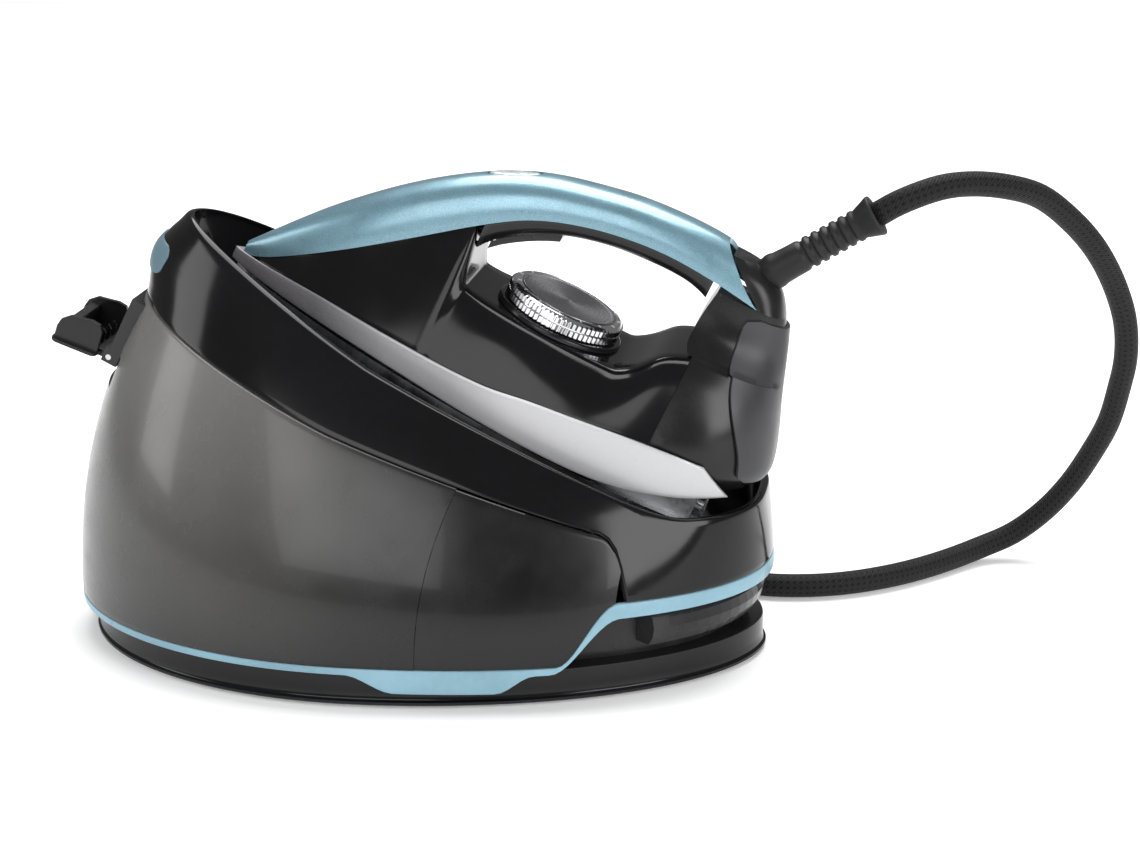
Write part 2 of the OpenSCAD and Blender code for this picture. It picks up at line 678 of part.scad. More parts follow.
module carry_latch() {
    color("#6f93a0") {
        sheet(pad_grid(latch_spread, latch_low, latch_high, 0, 0),
              pad_grid(latch_spread, latch_low, latch_high, 0, latch_t));
        translate([tongue_from, -tongue_half, tongue_z[0]])
            cube([tongue_tip - tongue_from, 2 * tongue_half, tongue_z[1] - tongue_z[0]]);
    }
}

// ---------- the iron's frame and curves ----------
// u runs from the heel end to the nose, w is square to the sole.
module in_iron() { translate([heel_x, 0, heel_z]) rotate([0, tilt, 0]) children(); }
function at(u, y, w) = [-u, y, w];

function plan(u, d) =
    let (nose = iron_len - 2.2 * d, b = iron_half - d, end = 10 + d)
    u >= iron_widest
        ? b * pow(max(0, 1 - pow(clamp01((u - iron_widest) / (nose - iron_widest)), 1.8)), 0.8)
        : b * pow(max(0, 1 - pow(clamp01((iron_widest - u) / (iron_widest - end)), 3)), 1 / 3);

band_low_line = [[24, 24], [49, 15], [75, 8.5], [100, 6], [150, 6], [205, 7], [302, 6]];
band_high_line = [[41, 35], [57, 33], [106, 25.5], [156, 21], [209, 20], [250, 18], [285, 14], [302, 12]];
cover_top_line = [
    [46, 117], [60, 126], [80, 130], [105, 130.3], [136, 127], [181, 115], [221, 91.5], [261, 56.5], [299, 13.5]
];
cover_low_line = [
    [50, 108], [76, 111.5], [102, 113], [126, 111], [149, 106], [170, 98],
    [189, 86], [219, 63], [250, 39.5], [283, 16.5], [299, 10]
];
grip_low_line = [
    [70, 95], [78, 100], [90, 103.4], [110, 103.6], [134, 101], [158, 93.5], [181, 79], [192, 66]
];
body_top_line = [[70, 76], [83, 70], [93, 60], [99, 55.5], [103, 54], [171, 54], [182, 54.8], [189, 57]];
body_flat_line = [[70, 29], [100, 31], [150, 32], [182, 28], [189, 26]];
handle_flat_line = [
    [60, handle_half - 0.5], [150, handle_half + 0.5], [220, handle_half + 1], [250, handle_half - 1],
    [280, handle_half / 2], [299, 1.5]
];

hole_front = 189;
seam_u = 70;
module soleplate() {
    steps = [for (i = [0 : 30]) lerp(30, iron_len - 4, pow(i / 30, 0.8))];
    color("#b8babd") in_iron() difference() {
        linear_extrude(sole_t) polygon(concat(
            [for (u = steps) [-u, plan(u, 2)]], [for (i = [30 : -1 : 0]) [-steps[i], -plan(steps[i], 2)]]));
        for (u = [90 : 24 : 258], side = [-1, 1])
            translate([-u, side * (plan(u, 2) - 10), -1]) cylinder(d = steam_hole_d, h = 4);
        for (u = [102 : 24 : 222], side = [-1, 1])
            translate([-u, side * 14, -1]) cylinder(d = steam_hole_d, h = 4);
    }
}

chamber_top = 15;
heater_y = 24;
heater_d = 7;
heater_w = 9.5;
heater_bend = 150;
module steam_chamber() {
    steps = [for (i = [0 : 20]) lerp(36, 262, i / 20)];
    color("#9a9c9f") in_iron() difference() {
        translate([0, 0, sole_t]) linear_extrude(chamber_top - sole_t) polygon(concat(
            [for (u = steps) [-u, plan(u, 9)]], [for (i = [20 : -1 : 0]) [-steps[i], -plan(steps[i], 9)]]));
        heater_path(heater_d + 2 * run_fit, 30);
        translate([-200, 0, sole_t + 3]) cylinder(d = 30, h = 20);
    }
}
module heater_path(d, out) {
    translate([-heater_bend, 0, heater_w]) {
        rotate([0, 0, 90]) rotate_extrude(angle = 180) translate([heater_y, 0]) circle(d = d);
        for (side = [-1, 1])
            translate([0, side * heater_y, 0]) rotate([0, 90, 0]) cylinder(d = d, h = heater_bend - out);
    }
}
module sole_heater() {
    color("#5c5d60") in_iron() heater_path(heater_d, 32);
}
module chamber_cover() {
    steps = [for (i = [0 : 20]) lerp(45, 258, i / 20)];
    color("#a9abae") in_iron() difference() {
        translate([0, 0, chamber_top]) linear_extrude(1.5) polygon(concat(
            [for (u = steps) [-u, plan(u, 11)]], [for (i = [20 : -1 : 0]) [-steps[i], -plan(steps[i], 11)]]));
        translate([-90, 0, chamber_top - 1]) cylinder(d = inlet_d, h = 4);
    }
}
cover_top = chamber_top + 1.5;
module thermostat() {
    color("#d8d0b8") in_iron() translate([-dial_u, 0, cover_top]) difference() {
        cylinder(d = 26, h = 12);
        translate([0, 0, 6]) cylinder(d = shaft_d + 2 * run_fit, h = 10);
    }
}
inlet_d = 8;
inlet_w = 37;
module steam_inlet() {
    color("#c7b48a") in_iron() {
        translate([-90, 0, chamber_top]) cylinder(d = inlet_d, h = inlet_w - chamber_top);
        translate([-90, 0, inlet_w]) rotate([0, 90, 0]) translate([0, 0, -4]) cylinder(d = inlet_d, h = 50);
    }
}

// Half section of the front body, from its lower edge up to the flat under the handle.
module front_body() {
    us = concat([for (u = [seam_u, 82, 94, 106, 120, 135, 150, 165, 178]) u], [hole_front, hole_front + 0.5],
                [for (u = [200, 214, 229, 244, 258, 270, 279, 285]) u]);
    function wt(u) = u > hole_front ? curve(cover_low_line, u) - seam : curve(body_top_line, u);
    function ht(u) = u > hole_front ? curve(handle_flat_line, u) : curve(body_flat_line, u);
    function e(u) = lerp(0.55, 1.1, smooth(150, 240, u));
    function half(u, d) =
        let (b = plan(u, band_t + 3 * seam + d), wl = curve(band_low_line, u) + 2,
             wb = min(curve(band_high_line, u), wt(u) - 1.5), h = min(ht(u), b + d - 0.5) - d)
        concat([[b, wl], [b, wb - d * 0.4]],
               [for (v = [0.2, 0.4, 0.6, 0.8, 0.92, 1])
                   [h + (b - h) * pow(1 - v, e(u)), lerp(wb, wt(u) - d, v)]]);
    function ring(u, shift, d) = let (q = half(u, d), n = len(q)) concat(
        [for (i = [0 : n - 1]) at(u + shift, q[i][0], q[i][1])],
        [for (i = [n - 1 : -1 : 0]) at(u + shift, -q[i][0], q[i][1])]);
    function inner_shift(u) = abs(u - hole_front) < 1 ? iron_wall : 0;
    color("#0e0e10") in_iron() difference() {
        sheet([for (u = us) ring(u, 0, 0)], [for (u = us) ring(u, inner_shift(u), iron_wall)]);
        translate([-dial_u, 0, 30]) cylinder(d = shaft_d + 2 * gap, h = 40);
    }
}

// Rear body: rings at rising heights, flat towards the seam and round at the heel.
rear_line = [[17, 30], [22, 20], [28, 14.5], [38, 12], [72, 24], [100, 34], [112, 40], [120, 47], [127, 60]];
rear_half_line = [
    [17, 47], [32, 49.5], [50, 45.5], [65, 38.5], [77, 30], [90, 20], [108, 16.5], [120, 14.5], [127, 9]
];
rear_front_line = [[77, 73], [82, 75.5], [95, 75], [108, 73]];
body_step = 77;     // height of the ledge over the front body
cover_step = 108;   // height of the ledge that the handle cover's tail rests on
function rear_front(w) =
    w < body_step ? seam_u : w < cover_step ? curve(rear_front_line, w)
    : cover_end - 0.5 + (w - cover_step) * cover_slant / 21.5;
function rear_pt(w, a, d, fd) =
    let (f = rear_front(w) - seam - fd, r = curve(rear_line, w) + d, h = curve(rear_half_line, w) - d)
    at(f - (f - r) * pow(cos(a), 2 / 2.4), h * sign(a) * pow(abs(sin(a)), 2 / 2.4), w);
function rear_ring(w, d) = [for (i = [0 : 28]) rear_pt(w, lerp(-90, 90, i / 28), d, d)];
rear_top = 126;
module rear_body() {
    shell_levels = [17, 22, 28, 38, 52, 66, body_step - 0.1, body_step, 82, 95, 103];
    skin_levels = concat(shell_levels, [cover_step - seam - 0.2, cover_step, 112, 116, 120, 123.5]);
    color("#121214") in_iron() difference() {
        loft(concat([for (i = [len(shell_levels) - 1 : -1 : 0]) rear_ring(shell_levels[i], iron_wall)],
                    [for (w = skin_levels) rear_ring(w, 0)], [rear_ring(rear_top, 0)]));
        bore_local(relief_u, relief_w, relief_d + 2 * seam);
        translate([-seam_u, 0, inlet_w]) rotate([0, 90, 0])
            cylinder(d = inlet_d + 2 * seam, h = 12, center = true);
    }
}
module rear_cover() {
    function face(d) = [for (w = [38, 52, 66, body_step - 0.1, body_step, 82])
        [for (i = [5 : 23]) rear_pt(w, lerp(-90, 90, i / 28), -d, 0)]];
    color("#1f1f21") in_iron() sheet(face(2), face(seam));
}

module side_band() {
    qs = concat([for (q = [0 : 0.035 : 0.94]) q], [0.96, 0.98, 0.99, 1]);
    nose_in = iron_len - 5;
    function pt(q, high, d) =
        let (from = high ? 41 : 24, u = lerp(from, d > 0 ? nose_in : iron_len, q),
             w = curve(high ? band_high_line : band_low_line, lerp(from, iron_len, q)))
        at(u, q == 1 ? 0 : d > 0 ? plan(u, d) : plan(u, 0), w);
    function row(high, d) = concat([for (q = qs) pt(q, high, d)],
        [for (i = [len(qs) - 2 : -1 : 0]) let (p = pt(qs[i], high, d)) [p.x, -p.y, p.z]]);
    color("#b9bcc2") in_iron() sheet([row(false, 0), row(true, 0)], [row(false, band_t), row(true, band_t)]);
}

// Lower half of the handle bar, an open channel.
grip_stations = [84, 95, 110, 125, 140, 155, 168, 180];
module grip() {
    us = concat([77], grip_stations, [hole_front - seam]);
    function ring(u, d) = let (hi = curve(cover_low_line, u) - 2 * seam, lo = curve(grip_low_line, u) + d,
                              h = curve(handle_flat_line, u) - d)
        [for (i = [0 : 12]) let (a = lerp(0, 180, i / 12))
            at(u, h * sign(cos(a)) * pow(abs(cos(a)), 0.7), hi - (hi - lo) * pow(sin(a), 0.7))];
    color("#18181a") in_iron() difference() {
        sheet([for (u = us) ring(u, 0)], [for (u = us) ring(u, iron_wall)]);
        translate([-trigger_slot[1], -trigger_w / 2 - gap, 70])
            cube([trigger_slot[1] - trigger_slot[0], trigger_w + 2 * gap, 40]);
        translate([-trigger_pin_at[0], 0, trigger_pin_at[1]]) rotate([90, 0, 0])
            cylinder(d = trigger_pin_d + 2 * run_fit, h = 60, center = true);
    }
}

cover_end = 52;
cover_slant = 27;
module handle_cover() {
    us = concat([cover_end, 60, 72], grip_stations, [hole_front, 205, 221, 237, 252, 266, 279, 289, 295]);
    function ring(u, d) = let (lo = curve(cover_low_line, u),
                              h = curve(handle_flat_line, u) + 0.6 - d * min(1, (iron_len - u) / 30))
        [for (i = [0 : 12])
            let (a = lerp(0, 180, i / 12), f = pow(sin(a), 0.8),
                 v = u + cover_slant * f * (1 - smooth(cover_end, 130, u)), hi = curve(cover_top_line, v) - d)
            at(v, h * sign(cos(a)) * pow(abs(cos(a)), 0.8), lo + (hi - lo) * f)];
    function inner_d(u) = min(iron_wall, (curve(cover_top_line, u) - curve(cover_low_line, u)) * 0.4);
    color("#7fb2c6") in_iron() difference() {
        sheet([for (u = us) ring(u, 0)], [for (u = us) ring(u, inner_d(u))]);
        lens_shape(seam, -8, 6);
    }
}

lens_u = 188;
lens_l = 26;
lens_half = 6;
lens_lean = 24;
module lens_shape(grow, low, high) {
    translate([-lens_u, 0, curve(cover_top_line, lens_u)]) rotate([0, -lens_lean, 0])
        translate([0, 0, low]) linear_extrude(high - low)
            polygon([for (i = [0 : 31]) let (a = i * 360 / 32)
                [(lens_l / 2 + grow) * cos(a), (lens_half + grow) * sin(a)]]);
}
module indicator_lens() {
    color([0.75, 0.8, 0.85, 0.8]) in_iron() lens_shape(0, -4.5, 0);
}

// ---------- dial ----------
pedestal_d = 66;
pedestal_low = 54 + seam;
pedestal_top = 56.6;
dial_low = pedestal_top + gap;
module dial_pedestal() {
    color("#101012") in_iron() translate([-dial_u, 0, pedestal_low]) difference() {
        cylinder(d = pedestal_d, h = pedestal_top - pedestal_low);
        translate([0, 0, -1]) cylinder(d = shaft_d + 2 * gap, h = 6);
    }
}
module dial_ring() {
    teeth = 60;
    color("#a8abb0") in_iron() translate([-dial_u, 0, dial_low]) difference() {
        union() {
            cylinder(d = dial_d - 2, h = dial_h);
            linear_extrude(dial_h - 2) polygon([for (i = [0 : 2 * teeth - 1])
                let (a = i * 180 / teeth, r = dial_d / 2 - (i % 2) * 0.8) [r * cos(a), r * sin(a)]]);
        }
        translate([0, 0, dial_h - 1.5]) cylinder(d = disc_d + 2 * seam, h = 3);
        translate([0, 0, -1]) cylinder(d = shaft_d, h = dial_h + 2);
    }
}
disc_d = 50;
module dial_disc() {
    color("#8b8d92") in_iron() translate([-dial_u, 0, dial_low + dial_h - 1.5]) cylinder(d = disc_d, h = 1.9);
}
module dial_shaft() {
    color("silver") in_iron() translate([-dial_u, 0, cover_top + 7])
        cylinder(d = shaft_d, h = dial_low + dial_h - 1.5 - cover_top - 7);
}

// ---------- trigger ----------
trigger_slot = [150, 188];
trigger_pin_at = [183, 80];
module steam_trigger() {
    color("#222224") in_iron() difference() {
        union() {
            loft([for (i = [0 : 6])
                let (u = lerp(trigger_slot[0] + 3, trigger_slot[1] - 4, i / 6), b = trigger_w / 2,
                     lo = curve(grip_low_line, u) - 4, hi = lo + 7)
                [at(u, -b, lo), at(u, b, lo), at(u, b, hi), at(u, -b, hi)]]);
            translate([-trigger_pin_at[0], 0, trigger_pin_at[1]]) rotate([90, 0, 0])
                cylinder(d = 8, h = trigger_w, center = true);
        }
        translate([-trigger_pin_at[0], 0, trigger_pin_at[1]]) rotate([90, 0, 0])
            cylinder(d = trigger_pin_d + 2 * run_fit, h = trigger_w + 2, center = true);
    }
}
module trigger_pin() {
    color("silver") in_iron() translate([-trigger_pin_at[0], 0, trigger_pin_at[1]]) rotate([90, 0, 0])
        cylinder(d = trigger_pin_d, h = 22, center = true);
}
module trigger_spring() {
    color("silver") in_iron() translate([-158, 0, 104]) cylinder(d = 5, h = 4);
}
module microswitch() {
    color("#c23b2e") in_iron() translate([-150, -3.2, 108]) cube([18, 6.4, 8]);
}
module terminal_block() {
    color("#e9e6da") in_iron() translate([-66, -15, 42]) cube([22, 30, 14]);
}
module body_screws() {
    color("silver") in_iron() for (u = [60, 82], side = [-1, 1])
        translate([-u, side * 8, 20]) cylinder(d = 4, h = 12);
}

// ---------- strain relief and hose ----------
relief_u = 55.5;
relief_w = 121.4;
relief_d = 17;
relief_len = 62;
relief_depth = 9;   // how deep the relief sits in the rear body
relief_rise = 56.5; // angle of the relief's axis from the sole plane
relief_end = [heel_x - relief_u * cos(tilt) + relief_w * sin(tilt) + relief_len * cos(relief_rise - tilt), 0,
              heel_z + relief_u * sin(tilt) + relief_w * cos(tilt) + relief_len * sin(relief_rise - tilt)];
module bore_local(u, w, d) {
    translate([-u, 0, w]) rotate([0, 90 - relief_rise, 0])
        translate([0, 0, -relief_depth]) cylinder(d = d, h = 40);
}
module strain_relief() {
    color("#161618") in_iron() translate([-relief_u, 0, relief_w]) rotate([0, 90 - relief_rise, 0]) {
        translate([0, 0, -relief_depth]) cylinder(d = relief_d, h = 22 + relief_depth);
        for (i = [0 : 5]) translate([0, 0, 22 + i * 5]) {
            cylinder(d = 13.5, h = 2.2);
            translate([0, 0, 2.2]) cylinder(d = 16, h = 2.8);
        }
        translate([0, 0, relief_len - 10]) cylinder(d1 = 15, d2 = 21, h = 10);
    }
}

relief_axis = [cos(relief_rise - tilt), 0, sin(relief_rise - tilt)];
hose_route = [
    [256, 8, 238.5], [272, 20, 238.5], [289, 32, 235], [304, 46, 228],
    [320, 62, 213], [333, 76, 196], [344, 92, 174], [351, 104, 152], [353, 114, 130], [351, 124, 110],
    [347, 134, 88], [339, 143, 67], [329, 150, 47], [316, 155, 29], [300, 155, 15], [282, 147, 8],
    [259, 121, 6.3], [236, 98, 6.3], [212, 82, 6.3], [189, 74, 6.3], [166, 73, 6.3], [140, 84, 6.3],
    [112, 99, 6.3], [84, 114, 6.3], [54, 126, 6.3], [22, 134, 6.3], [-20, 136, 6.3]
];
tail_route = [
    [-20, 274, 37.5], [8, 271, 37], [34, 258, 35], [52, 236, 33], [60, 210, 32], [61, 184, 33], [60, 166, 34]
];
coil_at = [-20, 205];

function unit(v) = v / norm(v);
function tangent(c, i) = unit(c[min(len(c) - 1, i + 1)] - c[max(0, i - 1)]);
function normals(c, i, n) =
    let (t = tangent(c, i), m = unit(n - t * (n * t)))
    i == len(c) - 1 ? [m] : concat([m], normals(c, i + 1, m));
module tube(c, d, sides) {
    ns = normals(c, 0, [0, 1, 0.1]);
    loft([for (i = [0 : len(c) - 1]) let (t = tangent(c, i), b = cross(t, ns[i]))
        [for (k = [0 : sides - 1]) let (a = k * 360 / sides) c[i] + (ns[i] * cos(a) + b * sin(a)) * d / 2]]);
}
tail_end = hose_gland_at + [0, relief_tail + 3, 0];
module steam_hose() {
    color("#101010") tube(concat([relief_end, relief_end + 12 * relief_axis], hose_route), hose_d, 10);
}
module hose_tail() { color("#101010") tube(concat(tail_route, [tail_end]), hose_d, 10); }
module hose_coil() {
    color("#101010") translate([coil_at.x, coil_at.y, 0]) rotate_extrude()
        translate([coil_r - hose_d / 2, 0]) square([hose_d, (coil_turns + 1) * hose_d]);
}

base_plate();
bottom_cover();
rubber_feet();
housing_screws();
boiler_housing();
cord_cleat();
accent_stripe();
water_tank();
side_skin_near();
side_skin_far();
stand();
rest_pads();
filler_neck();
flap_pin();
filler_flap();
antiscale_cartridge();
pickup_tube();
pump();
pump_mounts();
boiler();
boiler_heater();
boiler_insulation();
safety_valve();
solenoid_valve();
steam_outlet();
control_board();
power_switch();
power_button();
mains_gland();
hose_gland();
carry_latch();
soleplate();
steam_chamber();
sole_heater();
chamber_cover();
thermostat();
steam_inlet();
front_body();
rear_body();
rear_cover();
side_band();
grip();
handle_cover();
indicator_lens();
dial_pedestal();
dial_ring();
dial_disc();
dial_shaft();
steam_trigger();
trigger_pin();
trigger_spring();
microswitch();
terminal_block();
body_screws();
strain_relief();
steam_hose();
hose_coil();
hose_tail();
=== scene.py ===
import bpy, bmesh, json, math, random
from mathutils import Vector, Matrix

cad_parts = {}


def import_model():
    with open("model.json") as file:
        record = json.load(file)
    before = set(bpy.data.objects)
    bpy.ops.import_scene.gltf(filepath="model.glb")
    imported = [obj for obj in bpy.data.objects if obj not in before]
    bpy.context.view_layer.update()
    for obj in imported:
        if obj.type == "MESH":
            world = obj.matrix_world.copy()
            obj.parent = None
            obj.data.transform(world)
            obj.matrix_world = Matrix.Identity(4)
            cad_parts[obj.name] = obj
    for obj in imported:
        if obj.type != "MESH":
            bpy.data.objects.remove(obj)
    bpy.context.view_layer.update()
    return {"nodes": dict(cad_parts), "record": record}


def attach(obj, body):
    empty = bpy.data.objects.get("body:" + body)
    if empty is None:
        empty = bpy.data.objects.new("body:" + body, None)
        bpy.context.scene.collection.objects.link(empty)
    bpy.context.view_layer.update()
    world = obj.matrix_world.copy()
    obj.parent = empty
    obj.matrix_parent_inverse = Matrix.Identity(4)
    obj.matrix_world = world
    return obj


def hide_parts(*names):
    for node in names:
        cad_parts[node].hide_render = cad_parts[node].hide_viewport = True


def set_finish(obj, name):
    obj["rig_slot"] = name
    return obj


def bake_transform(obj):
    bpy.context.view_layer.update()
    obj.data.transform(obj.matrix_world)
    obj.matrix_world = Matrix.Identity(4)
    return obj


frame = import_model()
NODES = frame["nodes"]
random.seed(7)
MM = 0.001
scene = bpy.context.scene

# ---------------------------------------------------------------- numbers shared with the solids (mm)
# The base plate's ends and widest place along X, its half width and its top; then the skin's foot round it
PLATE_L, PLATE_R, WIDEST, PLATE_HALF, PLATE_TOP = -172.0, 178.0, -22.0, 115.0, 18.0
FOOT_L, FOOT_R, FOOT_B = PLATE_L - 7.0, PLATE_R + 3.5, PLATE_HALF + 3.0
STRIPE_LOW, STRIPE_HIGH = 22.0, 51.0
# The stripe's width and its panel's drop are a little more than the solids' 6 and 8
STRIPE_W, PANEL_DROP = 7.5, 8.5
# The iron's rest: its tilt and where its heel stands, its length, half width and widest place along its sole
TILT, HEEL_X, HEEL_Z = math.radians(25.0), 173.0, 60.0
IRON_LEN, IRON_HALF, IRON_WIDEST = 300.0, 56.0, 110.0
SIN, COS = math.sin(TILT), math.cos(TILT)
# The collar's rim
RIM_L, RIM_R, RIM_WIDEST, RIM_HALF, RIM_W = HEEL_X - IRON_LEN * COS - 14.0, 177.0, 60.0, 72.0, 4.5
RIM_BACK, RIM_LIP, COLLAR = 85.0, 8.0, 12.0
TANK_SHARE, PLATFORM_DROP, TANK_REAR, NOSE_SWELL = 0.8, 3.0, 22.0, 10.0
SWELL_FROM, SWELL_AT = 0.78, 0.92
# Places along the iron, from its heel
DIAL_U, HOLE_FRONT, SEAM_U = 137.0, 189.0, 70.0
SEAM, BAND_T, IRON_WALL = 0.2, 1.6, 2.5


# ---------------------------------------------------------------- camera
def camera():
    """Looks at the object from a little to its right and above."""
    az, el, dist = math.radians(10.0), math.radians(17.0), 1.3
    back = Vector((math.sin(az) * math.cos(el), -math.cos(az) * math.cos(el), math.sin(el)))
    data = bpy.data.cameras.new("camera")
    data.lens, data.sensor_width = 81.6, 36.0
    ob = bpy.data.objects.new("camera", data)
    target = Vector((0.077, 0.0, 0.111))
    ob.location = target + back * dist
    ob.rotation_euler = back.to_track_quat("Z", "Y").to_euler()
    scene.collection.objects.link(ob)
    scene.camera = ob


camera()


def link(ob):
    """Puts an object in the scene."""
    scene.collection.objects.link(ob)
    return ob


# ---------------------------------------------------------------- small maths
def lerp(a, b, t):
    """The value a share t of the way from a to b."""
    return a + (b - a) * t


def clamp01(t):
    """t kept between 0 and 1."""
    return max(0.0, min(1.0, t))


def smooth(a, b, x):
    """Rises from 0 to 1 between a and b, level at both ends."""
    t = clamp01((x - a) / (b - a))
    return t * t * (3 - 2 * t)


def curve(c, x):
    """A smooth line through the (x, y) points of c."""
    i = 0
    while i < len(c) - 2 and x >= c[i + 1][0]:
        i += 1

    def grade(k):
        a, b = max(0, k - 1), min(len(c) - 1, k + 1)
        return (c[b][1] - c[a][1]) / (c[b][0] - c[a][0])

    h = c[i + 1][0] - c[i][0]
    t = clamp01((x - c[i][0]) / h)
    return (c[i][1] * (1 + 2 * t) * (1 - t) ** 2 + grade(i) * h * t * (1 - t) ** 2
            + c[i + 1][1] * t * t * (3 - 2 * t) - grade(i + 1) * h * t * t * (1 - t))


def spow(v, p):
    """A power that keeps the sign."""
    return math.copysign(abs(v) ** p, v)


# ---------------------------------------------------------------- the steam hose: its facts and its route
HOSE_D = 12.5
RELIEF_U, RELIEF_W, RELIEF_LEN, RELIEF_RISE = 55.5, 121.4, 62.0, math.radians(56.5)
RELIEF_END = (HEEL_X - RELIEF_U * COS + RELIEF_W * SIN + RELIEF_LEN * math.cos(RELIEF_RISE - TILT), 0.0,
              HEEL_Z + RELIEF_U * SIN + RELIEF_W * COS + RELIEF_LEN * math.sin(RELIEF_RISE - TILT))
HOSE_ROUTE = [
    (RELIEF_END[0] + 12 * math.cos(RELIEF_RISE - TILT), 0, RELIEF_END[2] + 12 * math.sin(RELIEF_RISE - TILT)),
    (256, 8, 238.5), (272, 20, 238.5), (289, 32, 235), (304, 46, 228),
    (320, 62, 213), (333, 76, 196), (344, 92, 174), (351, 104, 152), (353, 114, 130), (351, 124, 110),
    (347, 134, 88), (339, 143, 67), (329, 150, 47), (316, 155, 29), (300, 155, 15), (282, 147, 8),
    (259, 121, 6.3), (236, 98, 6.3), (212, 82, 6.3), (189, 74, 6.3), (166, 73, 6.3), (140, 84, 6.3),
    (112, 99, 6.3), (84, 114, 6.3), (54, 126, 6.3), (22, 134, 6.3), (-20, 136, 6.3)]
TAIL_ROUTE = [(8, 271, 37), (34, 258, 35), (52, 236, 33), (60, 210, 32), (61, 184, 33), (60, 166, 34),
              (60, 147, 34)]
COIL_AT, COIL_R, COIL_TURNS = (-20.0, 205.0), 69.0, 2.5


def spline(points, step):
    """Points a step apart on the centripetal curve through the given ones."""
    pts = [Vector(p) for p in points]
    ext = [pts[0] * 2 - pts[1]] + pts + [pts[-1] * 2 - pts[-2]]
    out = []
    for i in range(1, len(ext) - 2):
        p0, p1, p2, p3 = ext[i - 1], ext[i], ext[i + 1], ext[i + 2]
        t1 = (p1 - p0).length ** 0.5
        t2 = t1 + (p2 - p1).length ** 0.5
        t3 = t2 + (p3 - p2).length ** 0.5
        n = max(2, int((p2 - p1).length / step))
        for k in range(n):
            t = lerp(t1, t2, k / n)
            a1 = p0 * ((t1 - t) / t1) + p1 * (t / t1)
            a2 = p1 * ((t2 - t) / (t2 - t1)) + p2 * ((t - t1) / (t2 - t1))
            a3 = p2 * ((t3 - t) / (t3 - t2)) + p3 * ((t - t2) / (t3 - t2))
            b1 = a1 * ((t2 - t) / t2) + a2 * (t / t2)
            b2 = a2 * ((t3 - t) / (t3 - t1)) + a3 * ((t - t1) / (t3 - t1))
            out.append(b1 * ((t2 - t) / (t2 - t1)) + b2 * ((t - t1) / (t2 - t1)))
    out.append(pts[-1])
    return out


def hose_points():
    """The hose's middle line: the chosen route, the stored turns, then the tail to the gland."""
    coil = []
    steps = 40
    for k in range(1, int(COIL_TURNS * steps) + 1):
        a = math.radians(-90.0) - 2 * math.pi * k / steps
        coil.append((COIL_AT[0] + COIL_R * math.cos(a), COIL_AT[1] + COIL_R * math.sin(a),
                     HOSE_D / 2 + 0.05 + HOSE_D * k / steps))
    return spline([RELIEF_END] + HOSE_ROUTE + coil + TAIL_ROUTE, 4.0)


def frames_along(path, first):
    """A direction square to the path at each point, turning as little as it can."""
    out, n = [], Vector(first)
    for i in range(len(path)):
        t = (path[min(len(path) - 1, i + 1)] - path[max(0, i - 1)]).normalized()
        n = (n - t * n.dot(t)).normalized()
        out.append((n.copy(), t.cross(n)))
    return out


def hose():
    """One braided sleeve over the whole middle line, with UVs along it for the weave."""
    path = hose_points()
    sides = 24
    fr = frames_along(path, (0, 1, 0.1))
    bm = bmesh.new()
    uv = bm.loops.layers.uv.new("along")
    rows, length, along = [], 0.0, []
    for i, p in enumerate(path):
        if i:
            length += (p - path[i - 1]).length
        along.append(length)
        n, b = fr[i]
        rows.append([bm.verts.new((p + (n * math.cos(a) + b * math.sin(a)) * HOSE_D / 2 * 0.995) * MM)
                     for a in (2 * math.pi * k / sides for k in range(sides))])
    for i in range(len(rows) - 1):
        for k in range(sides):
            m = (k + 1) % sides
            f = bm.faces.new((rows[i][k], rows[i][m], rows[i + 1][m], rows[i + 1][k]))
            f.smooth = True
            for lp, (s, q) in zip(f.loops, ((i, k), (i, k + 1), (i + 1, k + 1), (i + 1, k))):
                lp[uv].uv = (q / sides, along[s] / 40.0)
    for row, rev in ((rows[0], True), (rows[-1], False)):
        bm.faces.new(row[::-1] if rev else row)
    bmesh.ops.recalc_face_normals(bm, faces=bm.faces)
    me = bpy.data.meshes.new("steam_hose_sleeve")
    bm.to_mesh(me)
    ob = link(bpy.data.objects.new("steam_hose_sleeve", me))
    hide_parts("steam_hose", "hose_coil", "hose_tail")
    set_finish(ob, "hose_braid")
    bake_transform(ob)


hose()


# ---------------------------------------------------------------- outlines of the base (mm)
FOOT_POWER, PLATE_POWER = 2.05, 1.85


def half_width(x, xl, xc, xr, b, nl, nr):
    """Half the width at x of an outline that is widest at xc."""
    r, n = ((xc - x) / (xc - xl), nl) if x < xc else ((x - xc) / (xr - xc), nr)
    return 0.0 if r >= 1 else b * (1 - r ** n) ** (1 / n)


def oval(t, xl, xc, xr, b, nr):
    """The point at angle t of an oval with a squarer right half."""
    c, s = math.cos(math.radians(t)), math.sin(math.radians(t))
    n, a = (2, xc - xl) if c < 0 else (nr, xr - xc)
    return xc + spow(c, 2 / n) * a, spow(s, 2 / n) * b


def foot_pt(t, d):
    """The skin's foot, d inside it."""
    return oval(t, FOOT_L + d, WIDEST, FOOT_R - d, FOOT_B - d, FOOT_POWER)


def plate_pt(t, d):
    """The base plate's edge, d inside it."""
    return oval(t, PLATE_L + d, WIDEST, PLATE_R - d, PLATE_HALF - d, PLATE_POWER)


def angle_at(x):
    """The angle at which the foot reaches x."""
    return math.degrees(math.acos(((x - WIDEST) / (FOOT_R - WIDEST)) ** (FOOT_POWER / 2)))


def sole_z(x):
    """Height of the iron's sole."""
    return HEEL_Z + (HEEL_X - x) * math.tan(TILT)


def soft_max(a, b, k):
    """The larger of two values, with the corner rounded."""
    return 0.5 * (a + b + math.sqrt((a - b) ** 2 + k * k))


